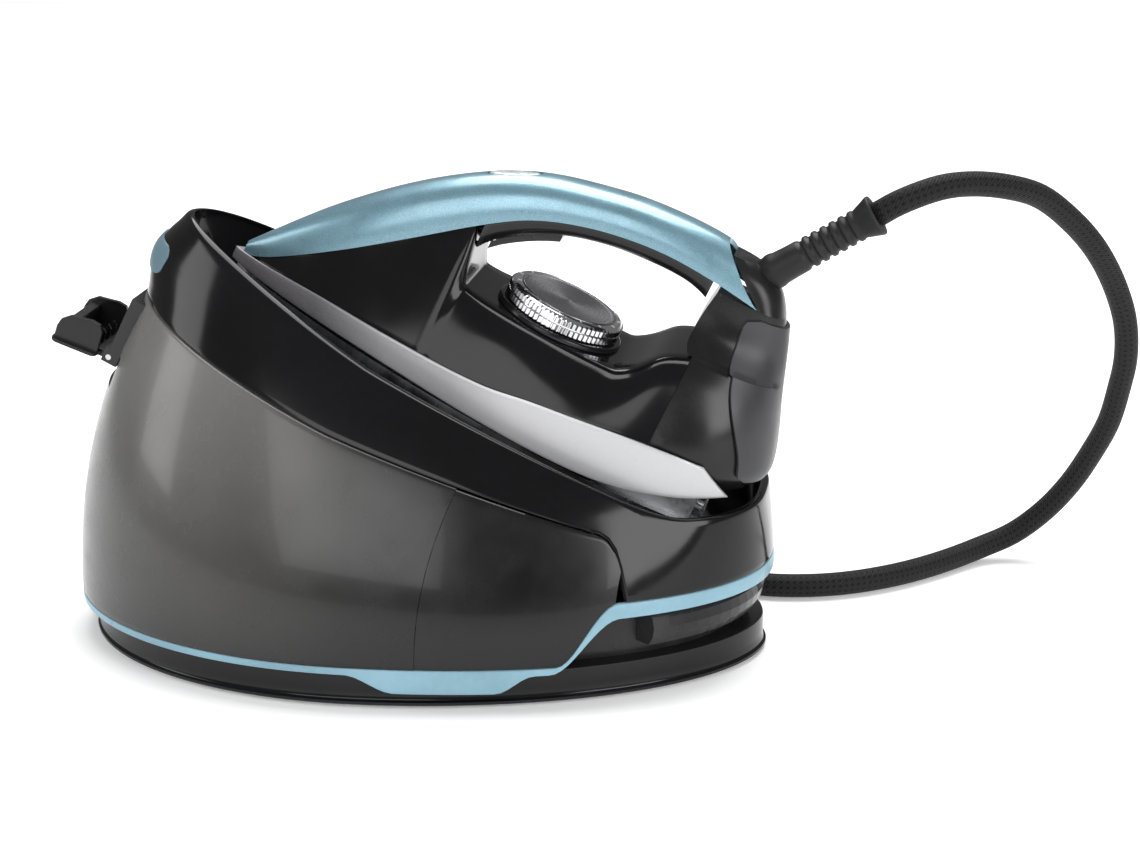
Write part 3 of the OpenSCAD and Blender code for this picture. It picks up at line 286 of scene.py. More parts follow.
def rim_z(x):
    """Height of the collar's rim."""
    return soft_max(sole_z(x) + (RIM_LIP + COLLAR * clamp01((-10 - x) / 103) ** 1.2) / COS, RIM_BACK, 5)


def rim_x(t):
    """Where the rim is along X at angle t."""
    return lerp(RIM_L, RIM_R, (foot_pt(t, 0)[0] - FOOT_L) / (FOOT_R - FOOT_L))


def skin(s, t, d):
    """The base's skin at angle t, a share s of the way from foot to rim, d inside it."""
    px, py = foot_pt(t, d)
    x = lerp(RIM_L + d, RIM_R - d, (px - FOOT_L - d) / (FOOT_R - FOOT_L - 2 * d))
    y = half_width(x, RIM_L + d, RIM_WIDEST, RIM_R - d, RIM_HALF - d, 2, 2.8)
    g = max(s, 0.0) ** 2.2
    swell = (NOSE_SWELL * max(0.0, -math.cos(math.radians(t))) ** 8 * smooth(SWELL_FROM, SWELL_AT, s)
             * (1 - 0.5 * smooth(SWELL_AT, 1, s)))
    return Vector((lerp(px, x, g) - swell, lerp(py, math.copysign(y, py), g),
                   lerp(STRIPE_LOW, rim_z(rim_x(t)), s)))


def share_at(z, t):
    """The share of the way from foot to rim at height z."""
    return (z - STRIPE_LOW) / (rim_z(rim_x(t)) - STRIPE_LOW)


def skin_at(z, t, d):
    """The skin at height z."""
    p = skin(max(0.0, share_at(z, t)), t, d)
    return Vector((p.x, p.y, z))


def stripe_top(x):
    """The stripe runs low round the front and steps up behind the tank."""
    return lerp(STRIPE_LOW, STRIPE_HIGH, smooth(88, 114, x))


def stripe_bottom(x):
    """Its lower edge, with a deeper panel in the middle of each side."""
    low = PLATE_TOP + SEAM
    return lerp(lerp(low, low - PANEL_DROP, smooth(-12, 12, x) * (1 - smooth(60, 78, x))),
                STRIPE_HIGH - STRIPE_W, smooth(85, 116, x))


def stand_share(t):
    """The share at which the stand's lower edge lies."""
    x = foot_pt(t, 0)[0]
    r = clamp01((x - 98) / 18)
    low = share_at(STRIPE_HIGH + SEAM, t)
    return low if x >= 116 else low + (TANK_SHARE - low) * math.sqrt(1 - r * r)


def platform_z(x):
    """Height of the platform under the iron."""
    return sole_z(x) - PLATFORM_DROP / COS


# ---------------------------------------------------------------- mesh makers
def mesh_object(name, verts, faces, body, slot, replaces=(), sharp=40.0, rounded=0.0):
    """A visible piece from points in mm, smooth but for edges over sharp degrees, riding on body."""
    me = bpy.data.meshes.new(name)
    me.from_pydata([tuple(Vector(v) * MM) for v in verts], [], faces)
    bm = bmesh.new()
    bm.from_mesh(me)
    bmesh.ops.remove_doubles(bm, verts=bm.verts, dist=1e-7)
    bmesh.ops.dissolve_degenerate(bm, dist=1e-7, edges=bm.edges)
    bmesh.ops.recalc_face_normals(bm, faces=bm.faces)
    for f in bm.faces:
        f.smooth = True
    limit = math.radians(sharp)
    for e in bm.edges:
        if len(e.link_faces) == 2 and e.calc_face_angle(0.0) > limit:
            e.smooth = False
    bm.to_mesh(me)
    bm.free()
    ob = link(bpy.data.objects.new(name, me))
    if rounded:
        m = ob.modifiers.new("edges", "BEVEL")
        m.width, m.segments, m.limit_method, m.angle_limit = rounded * MM, 2, "ANGLE", limit
        m.use_clamp_overlap = True
        m.harden_normals = False
    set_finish(ob, slot)
    if replaces:
        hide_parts(*replaces)
    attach(ob, body)
    return ob


def grid_faces(m, k, first, wrap, flip=False):
    """Faces over m rows of k points."""
    out = []
    for i in range(m - 1):
        for j in range(k if wrap else k - 1):
            n = (j + 1) % k
            r = first + i * k
            q = (r + j, r + n, r + k + n, r + k + j)
            out.append(q[::-1] if flip else q)
    return out


def sheet(outer, inner, wrap=False):
    """Vertices and faces of a closed sheet between two grids."""
    m, k = len(outer), len(outer[0])
    s = m * k
    faces = grid_faces(m, k, 0, wrap) + grid_faces(m, k, s, wrap, True)
    far = s - k
    for j in range(k if wrap else k - 1):
        n = (j + 1) % k
        faces += [(n, j, s + j, s + n), (far + j, far + n, s + far + n, s + far + j)]
    if not wrap:
        for i in range(m - 1):
            a, b = i * k, i * k + k
            faces += [(a, b, s + b, s + a), (b + k - 1, a + k - 1, s + a + k - 1, s + b + k - 1)]
    return [v for r in outer for v in r] + [v for r in inner for v in r], faces


def loft(rings, wrap=True, caps=(True, True)):
    """Vertices and faces through rings of points."""
    m, k = len(rings), len(rings[0])
    faces = grid_faces(m, k, 0, wrap)
    if caps[0]:
        faces.append(tuple(range(k))[::-1])
    if caps[1]:
        faces.append(tuple(range((m - 1) * k, m * k)))
    return [v for r in rings for v in r], faces


def revolve(profile, segments=96):
    """Profile of (r, z) points turned about the local Z axis; ends with r = 0 are closed."""
    rings = [[Vector((r * math.cos(2 * math.pi * j / segments), r * math.sin(2 * math.pi * j / segments), z))
              for j in range(segments)] for r, z in profile]
    return loft(rings)


def solid_cut(ob, verts, faces):
    """Takes a closed form out of ob."""
    me = bpy.data.meshes.new("cutter")
    me.from_pydata([tuple(Vector(v) * MM) for v in verts], [], faces)
    bm = bmesh.new()
    bm.from_mesh(me)
    bmesh.ops.recalc_face_normals(bm, faces=bm.faces)
    bm.to_mesh(me)
    bm.free()
    cutter = link(bpy.data.objects.new("cutter", me))
    m = ob.modifiers.new("cut", "BOOLEAN")
    m.operation, m.solver, m.object, m.use_self = "DIFFERENCE", "EXACT", cutter, True
    new = bpy.data.meshes.new_from_object(ob.evaluated_get(bpy.context.evaluated_depsgraph_get()))
    ob.modifiers.clear()
    old = ob.data
    ob.data = new
    bpy.data.meshes.remove(old)
    bpy.data.objects.remove(cutter)


def turn(n):
    """n angles in degrees round a turn."""
    return [i * 360.0 / n for i in range(n)]


def circle(n):
    """n angles in radians round a turn."""
    return [2 * math.pi * i / n for i in range(n)]


def disc(rx, ry, z, n):
    """A ring of n points at height z."""
    return [Vector((rx * math.cos(a), ry * math.sin(a), z)) for a in circle(n)]


def iron_place(u, w):
    """The point u along the sole from the heel and w above it."""
    return Vector((HEEL_X - u * COS + w * SIN, 0, HEEL_Z + u * SIN + w * COS))


def at(u, y, w):
    """The same, y to the side."""
    p = iron_place(u, w)
    return Vector((p.x, y, p.z))


IRON_TURN = Matrix.Rotation(TILT, 4, "Y")


def in_iron(verts, u, w, extra=None):
    """Local points with Z square to the sole, placed at (u, w) of the iron."""
    m = Matrix.Translation(iron_place(u, w)) @ IRON_TURN
    if extra is not None:
        m = m @ extra
    return [m @ Vector(v) for v in verts]


# ---------------------------------------------------------------- the base's visible shells
ROUND = 192


def ring_body(name, rings, body, slot, replaces, rounded=0.0, sharp=40.0):
    """A closed band: the rings go round its section and back to the first."""
    verts, faces = loft(rings + [rings[0]], caps=(False, False))
    return mesh_object(name, verts, faces, body, slot, replaces, sharp, rounded)


def base_tray():
    """The glossy base plate: a bevelled edge, a flat top and its inner wall."""
    def ring(d, z):
        return [Vector((*plate_pt(t, d), z)) for t in turn(ROUND)]
    profile = [(0.3, 2.0), (0.0, 2.3), (0.0, 3.6), (0.4, 4.0), (1.1, 4.3), (1.5, 5.0), (1.6, 9.0),
               (1.6, 16.6), (1.8, 17.5), (2.6, 18.0), (44.0, 18.0), (44.0, 15.6), (4.2, 15.6), (4.2, 4.4)]
    ring_body("base_tray", [ring(d, z) for d, z in profile], "base", "gloss_black", ("base_plate",))


def stripe_trim():
    """The accent stripe with rounded edges, as (share of its height, depth) rows round it."""
    def row(f, d):
        out = []
        for t in turn(360):
            x = foot_pt(t, 0)[0]
            out.append(skin_at(lerp(stripe_bottom(x), stripe_top(x) - SEAM, f), t, d))
        return out
    section = [(0, 0.5), (0.04, 0.12), (0.12, 0), (0.5, 0), (0.88, 0), (0.96, 0.12), (1, 0.5), (1, 2.2),
               (0.5, 2.2), (0, 2.2)]
    ring_body("stripe_trim", [row(f, d) for f, d in section], "base", "accent_blue", ("accent_stripe",),
              sharp=60)


def tank_shell():
    """The smoked tank round the front, from the stripe to the collar."""
    top = TANK_SHARE - 0.006
    edge = angle_at(TANK_REAR)
    cols = [lerp(edge, 360 - edge, i / 159) for i in range(160)]

    def row(s, d):
        return [skin(s, t, d) for t in cols]
    shares = [0.0, 0.004, 0.02, 0.06, 0.12, 0.2, 0.28, 0.36, 0.44, 0.52, 0.6, 0.66, 0.71, 0.75, 0.78,
              top - 0.004, top]
    outer = [row(s, 0.35 if s in (0.0, top) else 0.0) for s in shares]
    verts, faces = sheet(outer, [row(s, 3.0) for s in shares])
    tank = mesh_object("tank_shell", verts, faces, "base", "smoked", (), 50)
    mouth_cut(tank)
    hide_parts("water_tank")


def flanks():
    """The side skins behind the tank, near and far."""
    shares = (0, 0.01, 0.05, 0.15, 0.3, 0.45, 0.6, 0.75, 0.88, 0.96, 0.99, 1)
    for side, label in ((-1, "near"), (1, "far")):
        cols = [side * lerp(angle_at(113.0), angle_at(TANK_REAR) - 0.06, i / 79) for i in range(80)]

        def face(d):
            rows = []
            for f in shares:
                edge_in = 0.3 if f in (0, 1) and d == 0 else 0
                row = []
                for t in cols:
                    low = share_at(stripe_top(foot_pt(t, 0)[0]) + SEAM, t)
                    row.append(skin(lerp(low, stand_share(t) - 0.01, f), t, d + edge_in))
                rows.append(row)
            return rows
        verts, faces = sheet(face(0), face(2.2))
        mesh_object("flank_" + label, verts, faces, "base", "smoked_dark", ("side_skin_" + label,), 50)


# The filler mouth: its hinge, its slope, and the opening's start, length and width
MOUTH_AT, MOUTH_SLOPE = Vector((-156, 0, 143)), math.radians(63.4)
MOUTH_START, MOUTH_L, MOUTH_W = 4.0, 30.0, 48.0
MOUTH_TURN = Matrix.Rotation(-MOUTH_SLOPE, 4, "Y")


def in_mouth(verts):
    """Points in the filler mouth's own frame, placed on the tank."""
    m = Matrix.Translation(MOUTH_AT) @ MOUTH_TURN
    return [m @ Vector(v) for v in verts]


def box_verts(lo, hi):
    """The corners of a box, in the order of BOX_FACES."""
    return [(x, y, z) for x in (lo[0], hi[0]) for y in (lo[1], hi[1]) for z in (lo[2], hi[2])]


BOX_FACES = [(0, 1, 3, 2), (4, 6, 7, 5), (0, 4, 5, 1), (2, 3, 7, 6), (0, 2, 6, 4), (1, 5, 7, 3)]


def mouth_cut(ob):
    """Opens the filler mouth and the room for its hinge in the tank's front."""
    half = MOUTH_W / 2
    opening = ((MOUTH_START - 0.3, -half - 0.3, -24), (MOUTH_START + MOUTH_L + 0.3, half + 0.3, 36))
    hinge_room = ((-13, -half - 4, -7.5), (MOUTH_START, half + 4, 22))
    boxes = [(in_mouth(box_verts(*box)), BOX_FACES) for box in (opening, hinge_room)]
    solid_cut(ob, *join_meshes(*boxes))


def stand_piece():
    """The black stand: the platform, the collar's rim, its outer skin and its underside."""
    def row(f, d):
        return [skin(lerp(stand_share(t), 1, f), t, d) for t in turn(ROUND)]

    def floor_ring(k, d, drop):
        out = []
        for t in turn(ROUND):
            p = skin(1, t, d)
            x = lerp(RIM_WIDEST, p.x, k)
            out.append(Vector((x, p.y * k, platform_z(x) - drop)))
        return out

    def inner(f):
        out = []
        for t in turn(ROUND):
            under = max(stand_share(t) + 0.01, (platform_z(skin(0.85, t, 3).x) - 3 / COS - STRIPE_LOW)
                        / (rim_z(rim_x(t)) - STRIPE_LOW))
            out.append(skin(lerp(stand_share(t), under, f), t, 3))
        return out
    under_edge = [Vector((p.x, p.y, platform_z(p.x) - 3 / COS)) for p in inner(1)]
    rim = [(0.9, RIM_W + 0.5), (0.97, RIM_W), (0.985, RIM_W - 0.2), (0.996, RIM_W - 0.9), (1, RIM_W - 1.7),
           (1, 1.7), (0.996, 0.8), (0.985, 0.25), (0.965, 0), (0.9, 0), (0.8, 0), (0.65, 0), (0.5, 0),
           (0.35, 0), (0.2, 0), (0.08, 0), (0.02, 0), (0, 0.35), (0, 3)]
    rings = [floor_ring(0.3, RIM_W + 1, 0), floor_ring(0.94, RIM_W + 1, 0), floor_ring(1, RIM_W + 1, -1.5)]
    rings += [row(f, d) for f, d in rim] + [inner(0.5), under_edge]
    centre = []
    for p in under_edge:
        x = lerp(RIM_WIDEST, p.x, 0.3)
        centre.append(Vector((x, p.y * 0.3, platform_z(x) - 3 / COS)))
    verts, faces = loft(rings + [centre])
    ob = mesh_object("stand_collar", verts, faces, "base", "gloss_black", (), 50)
    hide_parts("stand")


def extruded(profile, y0, y1):
    """A closed prism: the (x, z) profile drawn out along Y."""
    return loft([[Vector((x, y, z)) for x, z in profile] for y in (y0, y1)])


def join_meshes(*parts):
    """Several closed forms as one mesh."""
    verts, faces = [], []
    for v, f in parts:
        faces += [tuple(len(verts) + i for i in face) for face in f]
        verts += list(v)
    return verts, faces


def flap():
    """The filler flap, drawn shut and turned open: crowned lid, two cheeks, snap block, hinge barrel."""
    lid = []
    for i in range(25):
        x = lerp(6, 32, i / 24)
        k = clamp01(min(x - 6, 32 - x) / 4)
        half = 24 - 4 * (1 - math.sqrt(1 - (1 - k) ** 2))
        crown = 4.0 - 1.2 * (1 - math.sqrt(1 - (1 - k) ** 2))
        ring = []
        for j in range(17):
            y = lerp(-half, half, j / 16)
            ring.append(Vector((x, y, crown - 0.9 * (abs(y) / half) ** 4)))
        ring += [Vector((x, lerp(half, -half, j / 16), 1.5)) for j in range(17)]
        lid.append(ring)
    cheek = [(7.2, 2.0), (30.8, 2.0), (30.8, -5.0), (29.5, -9.0), (25.0, -12.5), (19.0, -13.2), (14.0, -14.0),
             (9.5, -13.2), (7.4, -10.0)]
    block = [(22.0, 2.0), (28.8, 2.0), (28.8, -6.5), (27.0, -9.0), (22.6, -9.0), (22.0, -7.5)]
    arm = [(-1.0, 3.9), (9.0, 3.9), (9.0, 0.2), (1.0, 0.2), (-1.0, 0.6)]
    barrel = [(3.9 * math.cos(a), 3.9 * math.sin(a)) for a in circle(40)]
    parts = [loft(lid), extruded(cheek, -21.0, -18.5), extruded(cheek, 18.5, 21.0),
             extruded(block, -20.6, 20.6), extruded(arm, -16.4, 16.4), extruded(barrel, -16.4, 16.4)]
    parts += [extruded([(10, 2), (12, 2), (12, -6), (10, -4)], y, y + 1.6) for y in (-12, -4, 4, 12)]
    v, f = join_meshes(*parts)
    m = Matrix.Translation(MOUTH_AT) @ Matrix.Rotation(-math.radians(97), 4, "Y") @ MOUTH_TURN
    mesh_object("filler_lid", [m @ Vector(p) for p in v], f, "flap", "satin_black", ("filler_flap",), 35, 0.5)


base_tray()
stripe_trim()
tank_shell()
flanks()
stand_piece()
flap()


# ---------------------------------------------------------------- the iron's visible shells
# Lines over the iron as (u, height) or (u, half width) points; those of the rear shell go by height.
# BAND_HIGH is raised in the middle against the solids' line.
BAND_LOW = [(24, 24), (49, 15), (75, 8.5), (100, 6), (150, 6), (205, 7), (302, 6)]
BAND_HIGH = [(41, 35), (57, 35), (80, 33.5), (106, 30.5), (130, 27.5), (156, 23), (209, 20), (250, 18),
             (285, 14), (302, 12)]
COVER_TOP = [(46, 117), (60, 126), (80, 130), (105, 130.3), (136, 127), (181, 115), (221, 91.5), (261, 56.5),
             (299, 13.5)]
COVER_LOW = [(50, 108), (76, 111.5), (102, 113), (126, 111), (149, 106), (170, 98), (189, 86), (219, 63),
             (250, 39.5), (283, 16.5), (299, 10)]
GRIP_LOW = [(70, 95), (78, 100), (90, 103.4), (110, 103.6), (134, 101), (158, 93.5), (181, 79), (192, 66)]
BODY_TOP = [(70, 76), (83, 70), (93, 60), (99, 55.5), (103, 54), (171, 54), (182, 54.8), (189, 57)]
BODY_FLAT = [(70, 29), (100, 31), (150, 32), (182, 28), (189, 26)]
HANDLE_FLAT = [(60, 16.5), (150, 17.5), (220, 18), (250, 16), (280, 8.5), (299, 1.5)]
REAR_LINE = [(17, 30), (22, 20), (28, 14.5), (38, 12), (72, 24), (100, 34), (112, 40), (120, 47), (127, 60)]
REAR_HALF = [(17, 47), (32, 49.5), (50, 45.5), (65, 38.5), (77, 30), (90, 20), (108, 16.5), (120, 14.5),
             (127, 9)]
REAR_FRONT = [(77, 73), (82, 75.5), (95, 75), (108, 73)]
COVER_END, COVER_SLANT, LENS_U, BODY_STEP, COVER_STEP = 52.0, 27.0, 188.0, 77.0, 108.0


def plan(u, d):
    """Half the width of the iron's plan at u, d inside it."""
    nose, b, end = IRON_LEN - 2.2 * d, IRON_HALF - d, 10 + d
    if u >= IRON_WIDEST:
        return b * max(0.0, 1 - clamp01((u - IRON_WIDEST) / (nose - IRON_WIDEST)) ** 1.8) ** 0.8
    return b * max(0.0, 1 - clamp01((IRON_WIDEST - u) / (IRON_WIDEST - end)) ** 3) ** (1 / 3)


def stations(*parts):
    """Evenly spaced places in each (from, to, count) stretch."""
    out = []
    for a, b, n in parts:
        out += [lerp(a, b, i / n) for i in range(n)]
    return out + [parts[-1][1]]


def front_body():
    """The front shell: a low deck under the dial that rises to meet the handle at the nose."""
    def top(u):
        return curve(COVER_LOW, u) - SEAM if u > HOLE_FRONT else curve(BODY_TOP, u)

    def flat(u):
        return curve(HANDLE_FLAT, u) if u > HOLE_FRONT else curve(BODY_FLAT, u)

    def half(u, d):
        b, low = plan(u, BAND_T + 3 * SEAM + d), curve(BAND_LOW, u) + 2
        wb = min(curve(BAND_HIGH, u), top(u) - 1.5)
        h, e = min(flat(u), b + d - 0.5) - d, lerp(0.55, 1.1, smooth(150, 240, u))
        out = [(b, low), (b, wb - d * 0.4)]
        for v in (0.04, 0.1, 0.18, 0.26, 0.34, 0.42, 0.5, 0.58, 0.66, 0.74, 0.82, 0.88, 0.93, 0.97, 1.0):
            out.append((h + (b - h) * (1 - v) ** e, lerp(wb, top(u) - d, v)))
        out += [(h * k, top(u) - d) for k in (0.75, 0.4)]
        return out

    def ring(u, shift, d):
        k = smooth(183.5, 193.5, u)
        behind, ahead = half(min(u, HOLE_FRONT), d), half(max(u, HOLE_FRONT + 0.5), d)
        q = [Vector(a).lerp(Vector(b), k) for a, b in zip(behind, ahead)]
        return [at(u + shift, y, w) for y, w in q] + [at(u + shift, -y, w) for y, w in q[::-1]]
    us = stations((SEAM_U, 104, 20), (104, 170, 16), (170, 182, 4), (182, 195, 14), (195, 285, 40))
    verts, faces = sheet([ring(u, 0, 0) for u in us], [ring(u, 0, IRON_WALL) for u in us])
    mesh_object("front_shell", verts, faces, "iron", "gloss_black", ("front_body",), 42, 0.9)


def rear_pt(w, a, d, fd):
    """The rear shell at height w and angle a, flat at its front and round at the heel."""
    front = (SEAM_U if w < BODY_STEP else curve(REAR_FRONT, w) if w < COVER_STEP
             else COVER_END - 0.5 + (w - COVER_STEP) * COVER_SLANT / 21.5)
    f, r, h = front - SEAM - fd, curve(REAR_LINE, w) + d, curve(REAR_HALF, w) - d
    c, s = math.cos(math.radians(a)), math.sin(math.radians(a))
    return at(f - (f - r) * max(0.0, c) ** (2 / 2.4), h * spow(s, 2 / 2.4), w)


def rear_shells():
    """The rear shell and the panel on its heel."""
    def ring(w, d):
        return [rear_pt(w, lerp(-90, 90, i / 72), d, d) for i in range(73)]
    shell = stations((17, 28, 8), (28, BODY_STEP - 0.1, 24)) + stations((BODY_STEP, 103, 12))
    outside = shell + stations((104, COVER_STEP - SEAM - 0.2, 2)) + stations((COVER_STEP, 123.5, 10))
    verts, faces = loft([ring(w, IRON_WALL) for w in shell[::-1]] + [ring(w, 0) for w in outside + [126]])
    mesh_object("rear_shell", verts, faces, "iron", "satin_black", ("rear_body",), 42, 0.6)

    def face(d):
        rows = []
        for w in stations((32, BODY_STEP - 0.1, 20)) + stations((BODY_STEP, 104, 10)):
            k = clamp01(min(w - 32, 104 - w) / 5)
            span = lerp(44, 66, smooth(32, 80, w)) * (0.8 + 0.2 * math.sqrt(1 - (1 - k) ** 2))
            rows.append([rear_pt(w, lerp(-span, span, i / 44), -d, 0) for i in range(45)])
        return rows
    verts, faces = sheet(face(2), face(SEAM))
    mesh_object("rear_panel", verts, faces, "iron", "dark_grey", ("rear_cover",), 42, 0.7)


def band():
    """The silver side band: one sheet round the nose from heel to heel."""
    qs = [0.94 * i / 70 for i in range(70)] + [0.94, 0.95, 0.96, 0.97, 0.98, 0.985, 0.99, 0.995, 1]

    def pt(q, v, d):
        high_u, low_u = lerp(41, IRON_LEN, q), lerp(24, IRON_LEN, q)
        nose = IRON_LEN - 5 if d > 1 else IRON_LEN
        u = lerp(lerp(24, nose, q), lerp(41, nose, q), v)
        w = lerp(curve(BAND_LOW, low_u), curve(BAND_HIGH, high_u), v)
        return u, 0.0 if q == 1 else plan(u, d), w

    def row(v, d):
        a = [pt(q, v, d) for q in qs]
        return [at(*p) for p in a] + [at(p[0], -p[1], p[2]) for p in a[-2::-1]]
    section = [(0, 0.4), (0.03, 0.1), (0.08, 0), (0.3, 0), (0.6, 0), (0.92, 0), (0.97, 0.1), (1, 0.4)]
    verts, faces = sheet([row(v, d) for v, d in section], [row(v, BAND_T) for v, _ in section])
    mesh_object("band_trim", verts, faces, "iron", "silver_band", ("side_band",), 50)


def grip():
    """The black grip under the handle, with the trigger's slot."""
    us = stations((77, HOLE_FRONT - SEAM, 48))

    def ring(u, d):
        hi, lo, h = curve(COVER_LOW, u) - 2 * SEAM, curve(GRIP_LOW, u) + d, curve(HANDLE_FLAT, u) - d
        out = []
        for i in range(41):
            a = math.pi * i / 40
            out.append(at(u, h * spow(math.cos(a), 0.7), hi - (hi - lo) * abs(math.sin(a)) ** 0.7))
        return out
    verts, faces = sheet([ring(u, 0) for u in us], [ring(u, IRON_WALL) for u in us])
    ob = mesh_object("grip_shell", verts, faces, "iron", "satin_black", (), 42)
    slot_box = [(-u, y, w) for u in (150, 188) for y in (-6.5, 6.5) for w in (70, 110)]
    solid_cut(ob, in_iron(slot_box, 0, 0), BOX_FACES)
    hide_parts("grip")


LENS_TURN = Matrix.Rotation(math.radians(-24), 4, "Y")


def handle_cover():
    """The blue cover from nose to heel, with a hole for the lens."""
    def cover(u, d):
        lo = curve(COVER_LOW, u)
        h = curve(HANDLE_FLAT, u) + 0.6 - d * min(1, (IRON_LEN - u) / 30)
        out = []
        for i in range(49):
            a = math.pi * i / 48
            f = abs(math.sin(a)) ** 0.8
            v = u + COVER_SLANT * f * (1 - smooth(COVER_END, 130, u))
            out.append(at(v, h * spow(math.cos(a), 0.8), lo + (curve(COVER_TOP, v) - d - lo) * f))
        return out
    us = stations((COVER_END, 80, 14), (80, 290, 84), (290, 295, 4))
    deep = [min(IRON_WALL, (curve(COVER_TOP, u) - curve(COVER_LOW, u)) * 0.4) for u in us]
    verts, faces = sheet([cover(u, 0) for u in us], [cover(u, d) for u, d in zip(us, deep)])
    ob = mesh_object("handle_top", verts, faces, "iron", "handle_blue", (), 42)
    v, f = loft([disc(14, 6.8, z, 48) for z in (-8, 6)])
    solid_cut(ob, in_iron(v, LENS_U, curve(COVER_TOP, LENS_U), LENS_TURN), f)
    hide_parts("handle_cover")


def lens_cap():
    """The indicator lens: an oval with a soft edge."""
    profile = [(0.0, -4.4), (0.98, -4.4), (0.99, -1.2), (0.95, -0.7), (0.85, -0.35), (0.6, -0.05), (0.3, 0.0),
               (0.0, 0.0)]
    v, f = loft([disc(13 * r, 6 * r, z, 48) for r, z in profile])
    mesh_object("lens_cap", in_iron(v, LENS_U, curve(COVER_TOP, LENS_U), LENS_TURN), f, "iron", "lens",
                ("indicator_lens",), 60)


# ---------------------------------------------------------------- the steam dial
DIAL_LOW, DIAL_TOP, DIAL_FACE = 57.1, 66.1, 8.9


def dial_knob():
    """The dial's ring: (height, radius, knurled or not) rows, with a tooth every few points."""
    teeth, steps = 72, 6
    n = teeth * steps
    section = [(0, 29.4, 0), (0.3, 29.7, 1), (3.2, 29.7, 1), (3.5, 29.3, 0), (4.0, 29.3, 0), (4.3, 29.8, 1),
               (7.0, 29.8, 1), (7.5, 29.3, 0), (8.2, 28.7, 0), (8.7, 28.0, 0), (8.85, 27.4, 0),
               (8.6, 26.9, 0), (8.4, 26.0, 0), (8.5, 25.3, 0), (7.5, 25.2, 0)]
    rings = []
    for z, r, knurl in section:
        row = []
        for j in range(n):
            wave = 0.5 + 0.5 * math.cos(2 * math.pi * (j % steps) / steps)
            rr = r + knurl * (0.7 * wave - 0.05)
            a = 2 * math.pi * j / n
            row.append(Vector((rr * math.cos(a), rr * math.sin(a), z)))
        rings.append(row)
    rings = [[Vector((v.x * 0.14, v.y * 0.14, 0)) for v in rings[0]]] + rings
    rings.append([Vector((v.x * 0.16, v.y * 0.16, 7.5)) for v in rings[-1]])
    v, f = loft(rings)
    mesh_object("dial_knob", in_iron(v, DIAL_U, DIAL_LOW), f, "dial", "chrome_ring", ("dial_ring",), 35)


def dial_marks():
    """Eleven plain marks along the dial's edge."""
    verts, faces = [], []
    for k in range(11):
        a = math.radians(150 + k * 24)
        for da, r in ((-0.012, 26.1), (0.012, 26.1), (0.012, 28.0), (-0.012, 28.0)):
            for z in (8.86 - 0.06, DIAL_FACE):
                verts.append(Vector((r * math.cos(a + da), r * math.sin(a + da), z)))
        b = len(verts) - 8
        faces += [(b, b + 2, b + 4, b + 6), (b + 7, b + 5, b + 3, b + 1), (b, b + 1, b + 3, b + 2),
                  (b + 2, b + 3, b + 5, b + 4), (b + 4, b + 5, b + 7, b + 6), (b + 6, b + 7, b + 1, b)]
    mesh_object("dial_marks", in_iron(verts, DIAL_U, DIAL_LOW), faces, "dial", "white_plastic", (), 60)


def dial_plate():
    """The brushed disc in the ring, dished towards its middle."""
    profile = [(0.0, 0.0), (25.0, 0.0), (25.0, 1.1), (24.8, 1.4), (24.2, 1.5), (23.4, 1.25), (22.6, 1.1),
               (12, 0.9), (2.2, 0.85), (1.6, 1.0), (0.0, 1.05)]
    v, f = revolve(profile, 128)
    mesh_object("dial_plate", in_iron(v, DIAL_U, DIAL_TOP - 1.5), f, "dial", "brushed_disc",
                ("dial_disc",), 50)


def dial_seat():
    """The round seat under the dial."""
    profile = [(5.0, 0.0), (33.0, 0.0), (33.0, 1.2), (32.7, 1.9), (32.0, 2.3), (31.2, 2.4), (5.0, 2.4)]
    rings = [disc(r, r, z, 96) for r, z in profile]
    v, f = loft(rings + [rings[0]], caps=(False, False))
    mesh_object("dial_seat", in_iron(v, DIAL_U, 54.2), f, "iron", "gloss_black", ("dial_pedestal",), 50)


def relief():
    """The strain relief: a collar, six ribs and a flared end for the hose."""
    profile = [(0.0, -9.0), (8.4, -9.0), (8.5, 3.0), (8.9, 4.0), (8.9, 6.5), (8.4, 8.0), (8.1, 14.0),
               (8.0, 20.5), (7.6, 21.6)]
    for i in range(6):
        z = 22 + i * 5.0
        profile += [(6.9, z + 0.3), (6.75, z + 1.0), (6.9, z + 1.8), (7.7, z + 2.3), (8.0, z + 2.8),
                    (8.0, z + 4.2), (7.7, z + 4.7)]
    profile += [(7.4, 52.4), (8.0, 54.0), (9.2, 57.5), (10.2, 60.2), (10.4, 61.2), (10.1, 61.9), (7.0, 61.9),
                (6.4, 60.5), (0.0, 60.0)]
    v, f = revolve(profile, 64)
    turn_up = Matrix.Rotation(math.pi / 2 - RELIEF_RISE, 4, "Y")
    mesh_object("relief_boot", in_iron(v, RELIEF_U, RELIEF_W, turn_up), f, "iron", "rubber",
                ("strain_relief",), 50)


def latch():
    """The carry latch's pad on the collar's nose."""
    def grid(d, back):
        rows = []
        for i in range(17):
            v = i / 16
            k = max(0.0, 1 - abs(2 * v - 1) ** 4) ** 0.25
            spread = max(20 * k, 2.0)
            rows.append([skin(lerp(0.865, 0.945, v), 180 + spread * (j - 20) / 20, d) + Vector((back, 0, 0))
                         for j in range(41)])
        return rows
    v, f = sheet(grid(-0.7, 0), grid(3.2, 0))
    mesh_object("latch_pad", v, f, "latch", "latch_blue", ("carry_latch",), 50, 0.8)


front_body()
rear_shells()
band()
grip()
handle_cover()
lens_cap()
dial_knob()
dial_marks()
dial_plate()
dial_seat()
relief()
latch()


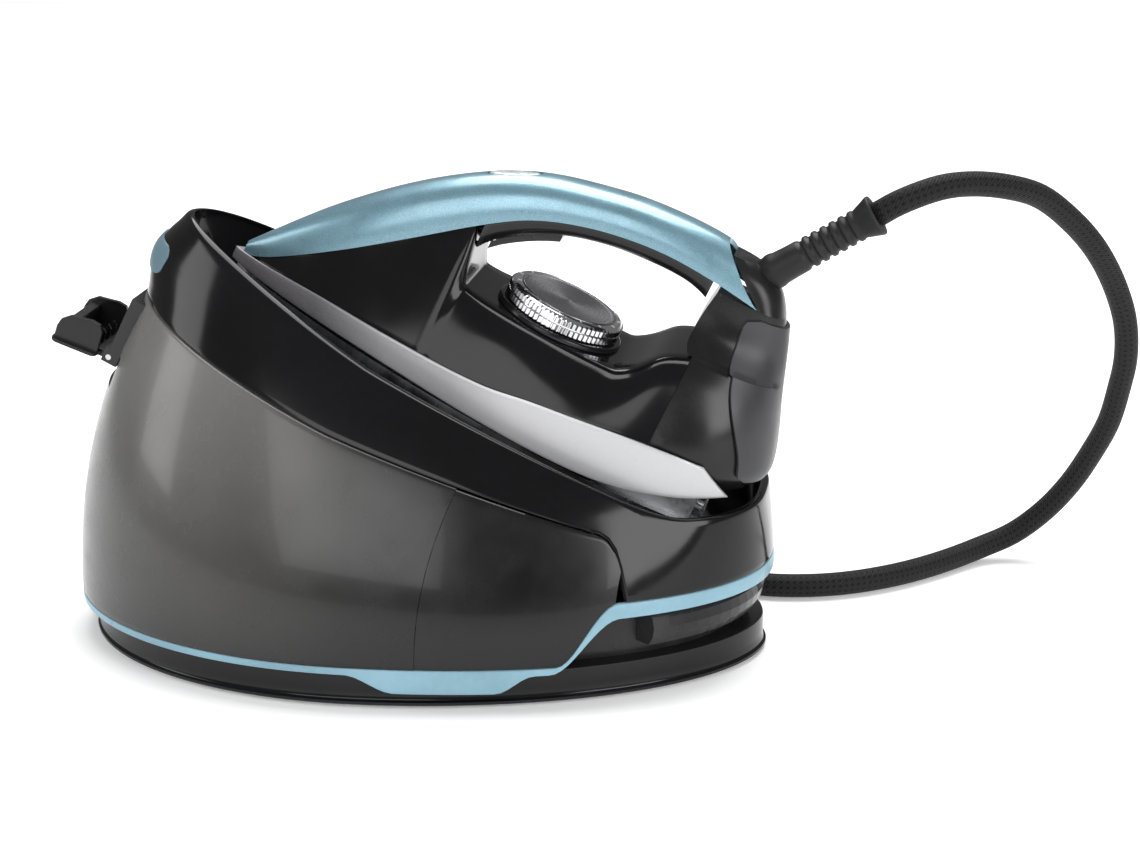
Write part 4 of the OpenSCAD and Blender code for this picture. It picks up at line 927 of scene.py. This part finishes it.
# ---------------------------------------------------------------- materials
class Mat:
    """A node material: colour that varies softly, roughness that varies, fine bump, worn edges."""

    def __init__(self, name, color, rough, metallic=0.0):
        self.mat = bpy.data.materials.new(name)
        self.mat.use_nodes = True
        self.nt = self.mat.node_tree
        self.b = self.nt.nodes["Principled BSDF"]
        self.b.inputs["Metallic"].default_value = metallic
        self.b.inputs["Base Color"].default_value = (*color, 1)
        self.b.inputs["Roughness"].default_value = rough
        self.coord = self.node("ShaderNodeTexCoord").outputs["Object"]

    def node(self, kind, **values):
        n = self.nt.nodes.new(kind)
        for k, v in values.items():
            if hasattr(n, k):
                setattr(n, k, v)
            else:
                n.inputs[k.replace("_", " ")].default_value = v
        return n

    def link(self, a, b):
        self.nt.links.new(a, b)

    def noise(self, scale, detail=3.0, stretch=None):
        n = self.node("ShaderNodeTexNoise", Scale=scale, Detail=detail)
        source = self.coord
        if stretch:
            m = self.node("ShaderNodeMapping")
            m.inputs["Scale"].default_value = stretch
            self.link(source, m.inputs[0])
            source = m.outputs[0]
        self.link(source, n.inputs["Vector"])
        return n.outputs[0]

    def ramp(self, fac, *stops):
        r = self.node("ShaderNodeValToRGB")
        el = r.color_ramp.elements
        while len(el) < len(stops):
            el.new(0.5)
        for e, (pos, col) in zip(el, stops):
            e.position = pos
            e.color = (*col, 1) if not isinstance(col, float) else (col, col, col, 1)
        self.link(fac, r.inputs[0])
        return r.outputs[0]

    def mix(self, fac, a, b, kind="MIX"):
        m = self.node("ShaderNodeMix", data_type="RGBA", blend_type=kind)
        for sock, val in ((m.inputs[0], fac), (m.inputs[6], a), (m.inputs[7], b)):
            if isinstance(val, (int, float)):
                sock.default_value = val
            elif isinstance(val, tuple):
                sock.default_value = (*val, 1)
            else:
                self.link(val, sock)
        return m.outputs[2]

    def bump(self, height, strength, distance=0.0001):
        n = self.node("ShaderNodeBump", Strength=strength, Distance=distance)
        self.link(height, n.inputs["Height"])
        if self.b.inputs["Normal"].links:
            self.link(self.b.inputs["Normal"].links[0].from_socket, n.inputs["Normal"])
        self.link(n.outputs[0], self.b.inputs["Normal"])

    def color_by(self, sock):
        self.link(sock, self.b.inputs["Base Color"])

    def rough_by(self, sock):
        self.link(sock, self.b.inputs["Roughness"])


def plastic(name, color, rough, lift=1.5, grain=0.05, grain_scale=1400.0, wear=(0.12, 0.12, 0.125), spec=0.3):
    """Moulded plastic: soft colour changes, fine specks, paler worn edges, a fine grain."""
    m = Mat(name, color, rough)
    m.b.inputs["Specular IOR Level"].default_value = spec
    soft = m.ramp(m.noise(14.0), (0.3, tuple(c * 0.85 for c in color)),
                  (0.75, tuple(min(1, c * lift) for c in color)))
    fine = m.ramp(m.noise(260.0, 4.0), (0.35, 0.0), (0.8, 0.08))
    base = m.mix(fine, soft, tuple(min(1, c * 1.8 + 0.01) for c in color))
    geo = m.node("ShaderNodeNewGeometry").outputs["Pointiness"]
    edge = m.ramp(geo, (0.53, 0.0), (0.6, 0.12))
    m.color_by(m.mix(edge, base, wear))
    m.rough_by(m.ramp(m.noise(40.0, 5.0), (0.3, rough * 0.8), (0.75, min(1.0, rough * 1.35))))
    m.bump(m.noise(grain_scale, 2.0), grain, 0.00006)
    m.b.inputs["Coat Roughness"].default_value = 0.06
    return m


def metal(name, color, rough, stretch=None, scale=60.0, bump=0.08):
    """Bare metal with a grain that stretch can draw out along one axis."""
    m = Mat(name, color, rough, 1.0)
    n = m.noise(scale, 4.0, stretch)
    m.color_by(m.ramp(n, (0.3, tuple(c * 0.82 for c in color)), (0.75, color)))
    m.rough_by(m.ramp(n, (0.3, rough * 0.8), (0.75, min(1.0, rough * 1.4))))
    m.bump(n, bump, 0.00005)
    return m


def along_x(m, lo, hi):
    """0 to 1 along the object's X, from lo to hi in metres."""
    sep = m.node("ShaderNodeSeparateXYZ")
    m.link(m.coord, sep.inputs[0])
    r = m.node("ShaderNodeMapRange")
    r.inputs["From Min"].default_value, r.inputs["From Max"].default_value = lo, hi
    m.link(sep.outputs[0], r.inputs[0])
    return r.outputs[0], sep


def handle_paint():
    """Metallic blue under a clear coat."""
    m = Mat("handle_blue", (0.2, 0.4, 0.5), 0.32, 0.55)
    flake = m.ramp(m.noise(2600.0, 1.0), (0.4, (0.13, 0.25, 0.31)), (0.7, (0.22, 0.37, 0.44)))
    m.color_by(m.mix(m.ramp(m.noise(9.0), (0.3, 0.0), (0.8, 0.12)), flake, (0.2, 0.35, 0.41)))
    m.rough_by(m.ramp(m.noise(70.0, 4.0), (0.3, 0.26), (0.75, 0.4)))
    m.bump(m.noise(2600.0, 1.0), 0.06, 0.00004)
    m.b.inputs["Coat Weight"].default_value = 0.5
    m.b.inputs["Coat Roughness"].default_value = 0.12
    return m


def smoked_plastic():
    """Smoked clear plastic with painted light and shade: pale at the nose as if light passed through the
    empty tank, painted shade darker towards the heel where the black housing stands behind, and painted shade
    darker towards the foot.
    """
    m = Mat("smoked", (0.1, 0.1, 0.1), 0.16)
    x, sep = along_x(m, -0.19, 0.05)
    # Painted light and shade along X: a pale nose edge, then darker towards the heel where the black housing
    # stands behind the tank.
    painted_light_shade = m.ramp(x, (0.0, (0.34, 0.34, 0.34)), (0.05, (0.15, 0.15, 0.15)), (0.12, (0.1, 0.1, 0.098)),
                   (0.45, (0.1, 0.096, 0.093)), (0.6, (0.07, 0.068, 0.066)), (0.74, (0.03, 0.029, 0.028)),
                   (0.86, (0.016, 0.016, 0.016)), (1.0, (0.007, 0.007, 0.007)))
    zr = m.node("ShaderNodeMapRange")
    zr.inputs["From Min"].default_value, zr.inputs["From Max"].default_value = 0.022, 0.15
    m.link(sep.outputs[2], zr.inputs[0])
    # Painted shade: darker towards the foot, with painted light making it lighter towards the top.
    dark = m.ramp(zr.outputs[0], (0.0, 0.2), (0.3, 0.5), (0.7, 1.0), (1.0, 1.3))
    painted_light_shade = m.mix(1.0, painted_light_shade, dark, "MULTIPLY")
    m.color_by(m.mix(m.ramp(m.noise(300.0, 4.0), (0.3, 0.0), (0.8, 0.12)), painted_light_shade,
                     m.mix(0.5, painted_light_shade, (0.12, 0.12, 0.12), "MULTIPLY")))
    m.rough_by(m.ramp(m.noise(50.0, 4.0), (0.3, 0.2), (0.75, 0.32)))
    m.bump(m.noise(700.0, 2.0), 0.015, 0.00005)
    m.b.inputs["Coat Weight"].default_value = 0.15
    m.b.inputs["Coat Roughness"].default_value = 0.06
    m.b.inputs["Specular IOR Level"].default_value = 0.3
    return m


def band_paint():
    """Silver paint, with painted light and shade along its length: lighter and darker stretches that stand in
    for its reflections.
    """
    m = Mat("silver_band", (0.5, 0.5, 0.52), 0.36, 0.3)
    x, _ = along_x(m, -0.1, 0.17)
    # Painted reflections and shade: the band's colour rises and falls along X as its reflections do.
    painted_band_light = m.ramp(x, (0.0, (0.3, 0.29, 0.31)), (0.06, (0.2, 0.19, 0.21)), (0.2, (0.15, 0.145, 0.16)),
                  (0.35, (0.34, 0.34, 0.35)), (0.47, (0.34, 0.34, 0.35)), (0.58, (0.46, 0.46, 0.47)),
                  (1.0, (0.42, 0.43, 0.44)))
    grain = m.noise(900.0, 3.0, (1.0, 1.0, 6.0))
    m.color_by(m.mix(m.ramp(grain, (0.35, 0.0), (0.75, 0.3)), painted_band_light, m.mix(0.5, painted_band_light, (0.8, 0.8, 0.8))))
    m.rough_by(m.ramp(grain, (0.3, 0.3), (0.75, 0.42)))
    m.bump(grain, 0.06, 0.00004)
    return m


def brushed_metal():
    """The dial's disc, brushed in rings about its middle."""
    m = Mat("brushed_disc", (0.45, 0.45, 0.47), 0.3, 1.0)
    centre = m.node("ShaderNodeMapping")
    c = iron_place(DIAL_U, 66) * MM
    centre.inputs["Location"].default_value = (-c.x, -c.y, -c.z)
    m.link(m.coord, centre.inputs[0])
    dist = m.node("ShaderNodeVectorMath", operation="LENGTH")
    m.link(centre.outputs[0], dist.inputs[0])
    rings = m.node("ShaderNodeMath", operation="MULTIPLY")
    m.link(dist.outputs["Value"], rings.inputs[0])
    rings.inputs[1].default_value = 5200.0
    wave = m.node("ShaderNodeTexNoise", noise_dimensions="1D", Scale=1.0, Detail=2.0)
    m.link(rings.outputs[0], wave.inputs["W"])
    m.color_by(m.ramp(wave.outputs[0], (0.3, (0.2, 0.2, 0.22)), (0.7, (0.36, 0.36, 0.38))))
    m.rough_by(m.ramp(wave.outputs[0], (0.3, 0.2), (0.7, 0.3)))
    m.bump(wave.outputs[0], 0.25, 0.00005)
    m.b.inputs["Anisotropic"].default_value = 0.7
    return m


def lens_plastic():
    """A frosted clear lens."""
    m = Mat("lens", (0.6, 0.64, 0.66), 0.12)
    m.color_by(m.ramp(m.noise(300.0, 4.0), (0.35, (0.35, 0.37, 0.38)), (0.7, (0.7, 0.73, 0.74))))
    m.rough_by(m.ramp(m.noise(400.0, 2.0), (0.3, 0.1), (0.75, 0.3)))
    m.b.inputs["Coat Weight"].default_value = 0.7
    return m


def hose_textile():
    """A braided sleeve with a regular row of dots."""
    m = Mat("hose_braid", (0.012, 0.012, 0.012), 0.6)
    uv = m.node("ShaderNodeUVMap", uv_map="along").outputs[0]
    cells = m.node("ShaderNodeMapping")
    cells.inputs["Scale"].default_value = (12.0, 12.0, 1.0)
    m.link(uv, cells.inputs[0])
    check = m.node("ShaderNodeTexVoronoi", feature="F1", distance="CHEBYCHEV")
    check.inputs["Scale"].default_value = 1.0
    check.inputs["Randomness"].default_value = 0.0
    m.link(cells.outputs[0], check.inputs["Vector"])
    dots = m.ramp(check.outputs["Distance"], (0.2, 1.0), (0.26, 0.0))
    weave = m.node("ShaderNodeTexWave", wave_type="BANDS", bands_direction="DIAGONAL", Scale=14.0,
                   Distortion=0.6)
    m.link(uv, weave.inputs["Vector"])
    body = m.mix(weave.outputs[1], (0.003, 0.003, 0.003), (0.016, 0.016, 0.017))
    m.color_by(m.mix(dots, body, (0.0008, 0.0008, 0.0008)))
    m.rough_by(m.ramp(weave.outputs[1], (0.2, 0.5), (0.8, 0.75)))
    m.bump(weave.outputs[1], 0.5, 0.0003)
    m.bump(dots, 0.4, 0.0003)
    m.b.inputs["Sheen Weight"].default_value = 0.04
    m.b.inputs["Specular IOR Level"].default_value = 0.15
    return m


def make_materials():
    """Every material by its slot's name."""
    M = {}
    M["gloss_black"] = plastic("gloss_black", (0.004, 0.004, 0.0045), 0.12, grain=0.015, spec=0.25)
    M["satin_black"] = plastic("satin_black", (0.006, 0.006, 0.0065), 0.24, grain=0.08)
    M["dark_grey"] = plastic("dark_grey", (0.03, 0.03, 0.033), 0.36, grain=0.15)
    M["rubber"] = plastic("rubber", (0.006, 0.006, 0.0065), 0.45, grain=0.25, grain_scale=900, spec=0.25)
    M["silicone"] = plastic("silicone", (0.5, 0.5, 0.48), 0.5, grain=0.1)
    M["white_plastic"] = plastic("white_plastic", (0.75, 0.75, 0.73), 0.4, 1.1)
    M["valve_blue"] = plastic("valve_blue", (0.05, 0.14, 0.3), 0.35)
    M["board_green"] = plastic("board_green", (0.02, 0.16, 0.06), 0.4, grain=0.4, grain_scale=500)
    M["latch_blue"] = plastic("latch_blue", (0.09, 0.15, 0.18), 0.35, 1.25, grain=0.08)
    M["accent_blue"] = plastic("accent_blue", (0.19, 0.33, 0.4), 0.3, 1.2, grain=0.04,
                               wear=(0.35, 0.48, 0.55))
    M["handle_blue"] = handle_paint()
    M["smoked"] = M["smoked_dark"] = smoked_plastic()
    M["silver_band"] = band_paint()
    M["sole_steel"] = metal("sole_steel", (0.62, 0.63, 0.65), 0.24, (1, 12, 1), 40)
    M["cast_alloy"] = metal("cast_alloy", (0.4, 0.41, 0.42), 0.5, None, 500, 0.3)
    M["chrome_ring"] = metal("chrome_ring", (0.72, 0.72, 0.74), 0.16, None, 90, 0.03)
    M["brass"] = metal("brass", (0.65, 0.47, 0.2), 0.3)
    M["steel"] = metal("steel", (0.6, 0.6, 0.62), 0.28, None, 200)
    M["brushed_disc"] = brushed_metal()
    M["lens"] = lens_plastic()
    M["hose_braid"] = hose_textile()
    return M


def paint():
    """Gives every node and piece the material of its slot."""
    M = make_materials()
    slots = {p["node"]: p["material_slot"] for p in frame["record"]["subparts"]}
    jobs = [(ob, slots[name]) for name, ob in NODES.items()]
    jobs += [(ob, ob["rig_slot"]) for ob in bpy.data.objects if ob.type == "MESH" and "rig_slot" in ob]
    for ob, name in jobs:
        ob.data.materials.clear()
        ob.data.materials.append(M[name].mat)


paint()


# ---------------------------------------------------------------- stage
def stage():
    """A plain pale floor."""
    me = bpy.data.meshes.new("floor")
    me.from_pydata([(-8, -8, 0), (8, -8, 0), (8, 8, 0), (-8, 8, 0)], [], [(0, 1, 2, 3)])
    ob = link(bpy.data.objects.new("floor", me))
    ob.location.z = -0.0002
    mat = bpy.data.materials.new("floor_white")
    mat.use_nodes = True
    b = mat.node_tree.nodes["Principled BSDF"]
    b.inputs["Base Color"].default_value = (0.93, 0.93, 0.93, 1)
    b.inputs["Roughness"].default_value = 0.6
    b.inputs["Specular IOR Level"].default_value = 0.1
    b.inputs["Emission Color"].default_value = (1, 1, 1, 1)
    b.inputs["Emission Strength"].default_value = 0.2
    me.materials.append(mat)


def softbox(name, at_, to, size, power, size_y=None):
    """A soft rectangular light at at_, turned towards to."""
    data = bpy.data.lights.new(name, "AREA")
    data.shape = "RECTANGLE"
    data.size, data.size_y, data.energy = size, size_y or size, power
    ob = link(bpy.data.objects.new(name, data))
    ob.location = at_
    ob.rotation_euler = (Vector(to) - Vector(at_)).to_track_quat("-Z", "Y").to_euler()


def world():
    """Even, weak light from all round."""
    w = bpy.data.worlds.new("studio")
    scene.world = w
    w.use_nodes = True
    w.node_tree.nodes["Background"].inputs[0].default_value = (1, 1, 1, 1)
    w.node_tree.nodes["Background"].inputs[1].default_value = 0.2
    scene.view_settings.view_transform = "Standard"


stage()
world()
softbox("top", (0.1, 1.0, 2.4), (0.05, 0.2, 0.0), 2.2, 95)
softbox("front", (-0.5, -3.0, 1.5), (0.0, 0, 0.1), 2.0, 44)
softbox("left", (-1.6, -0.5, 0.8), (-0.1, 0, 0.12), 0.6, 8, 1.0)
softbox("right", (1.7, -1.3, 0.8), (0.1, 0, 0.12), 1.0, 26, 1.2)
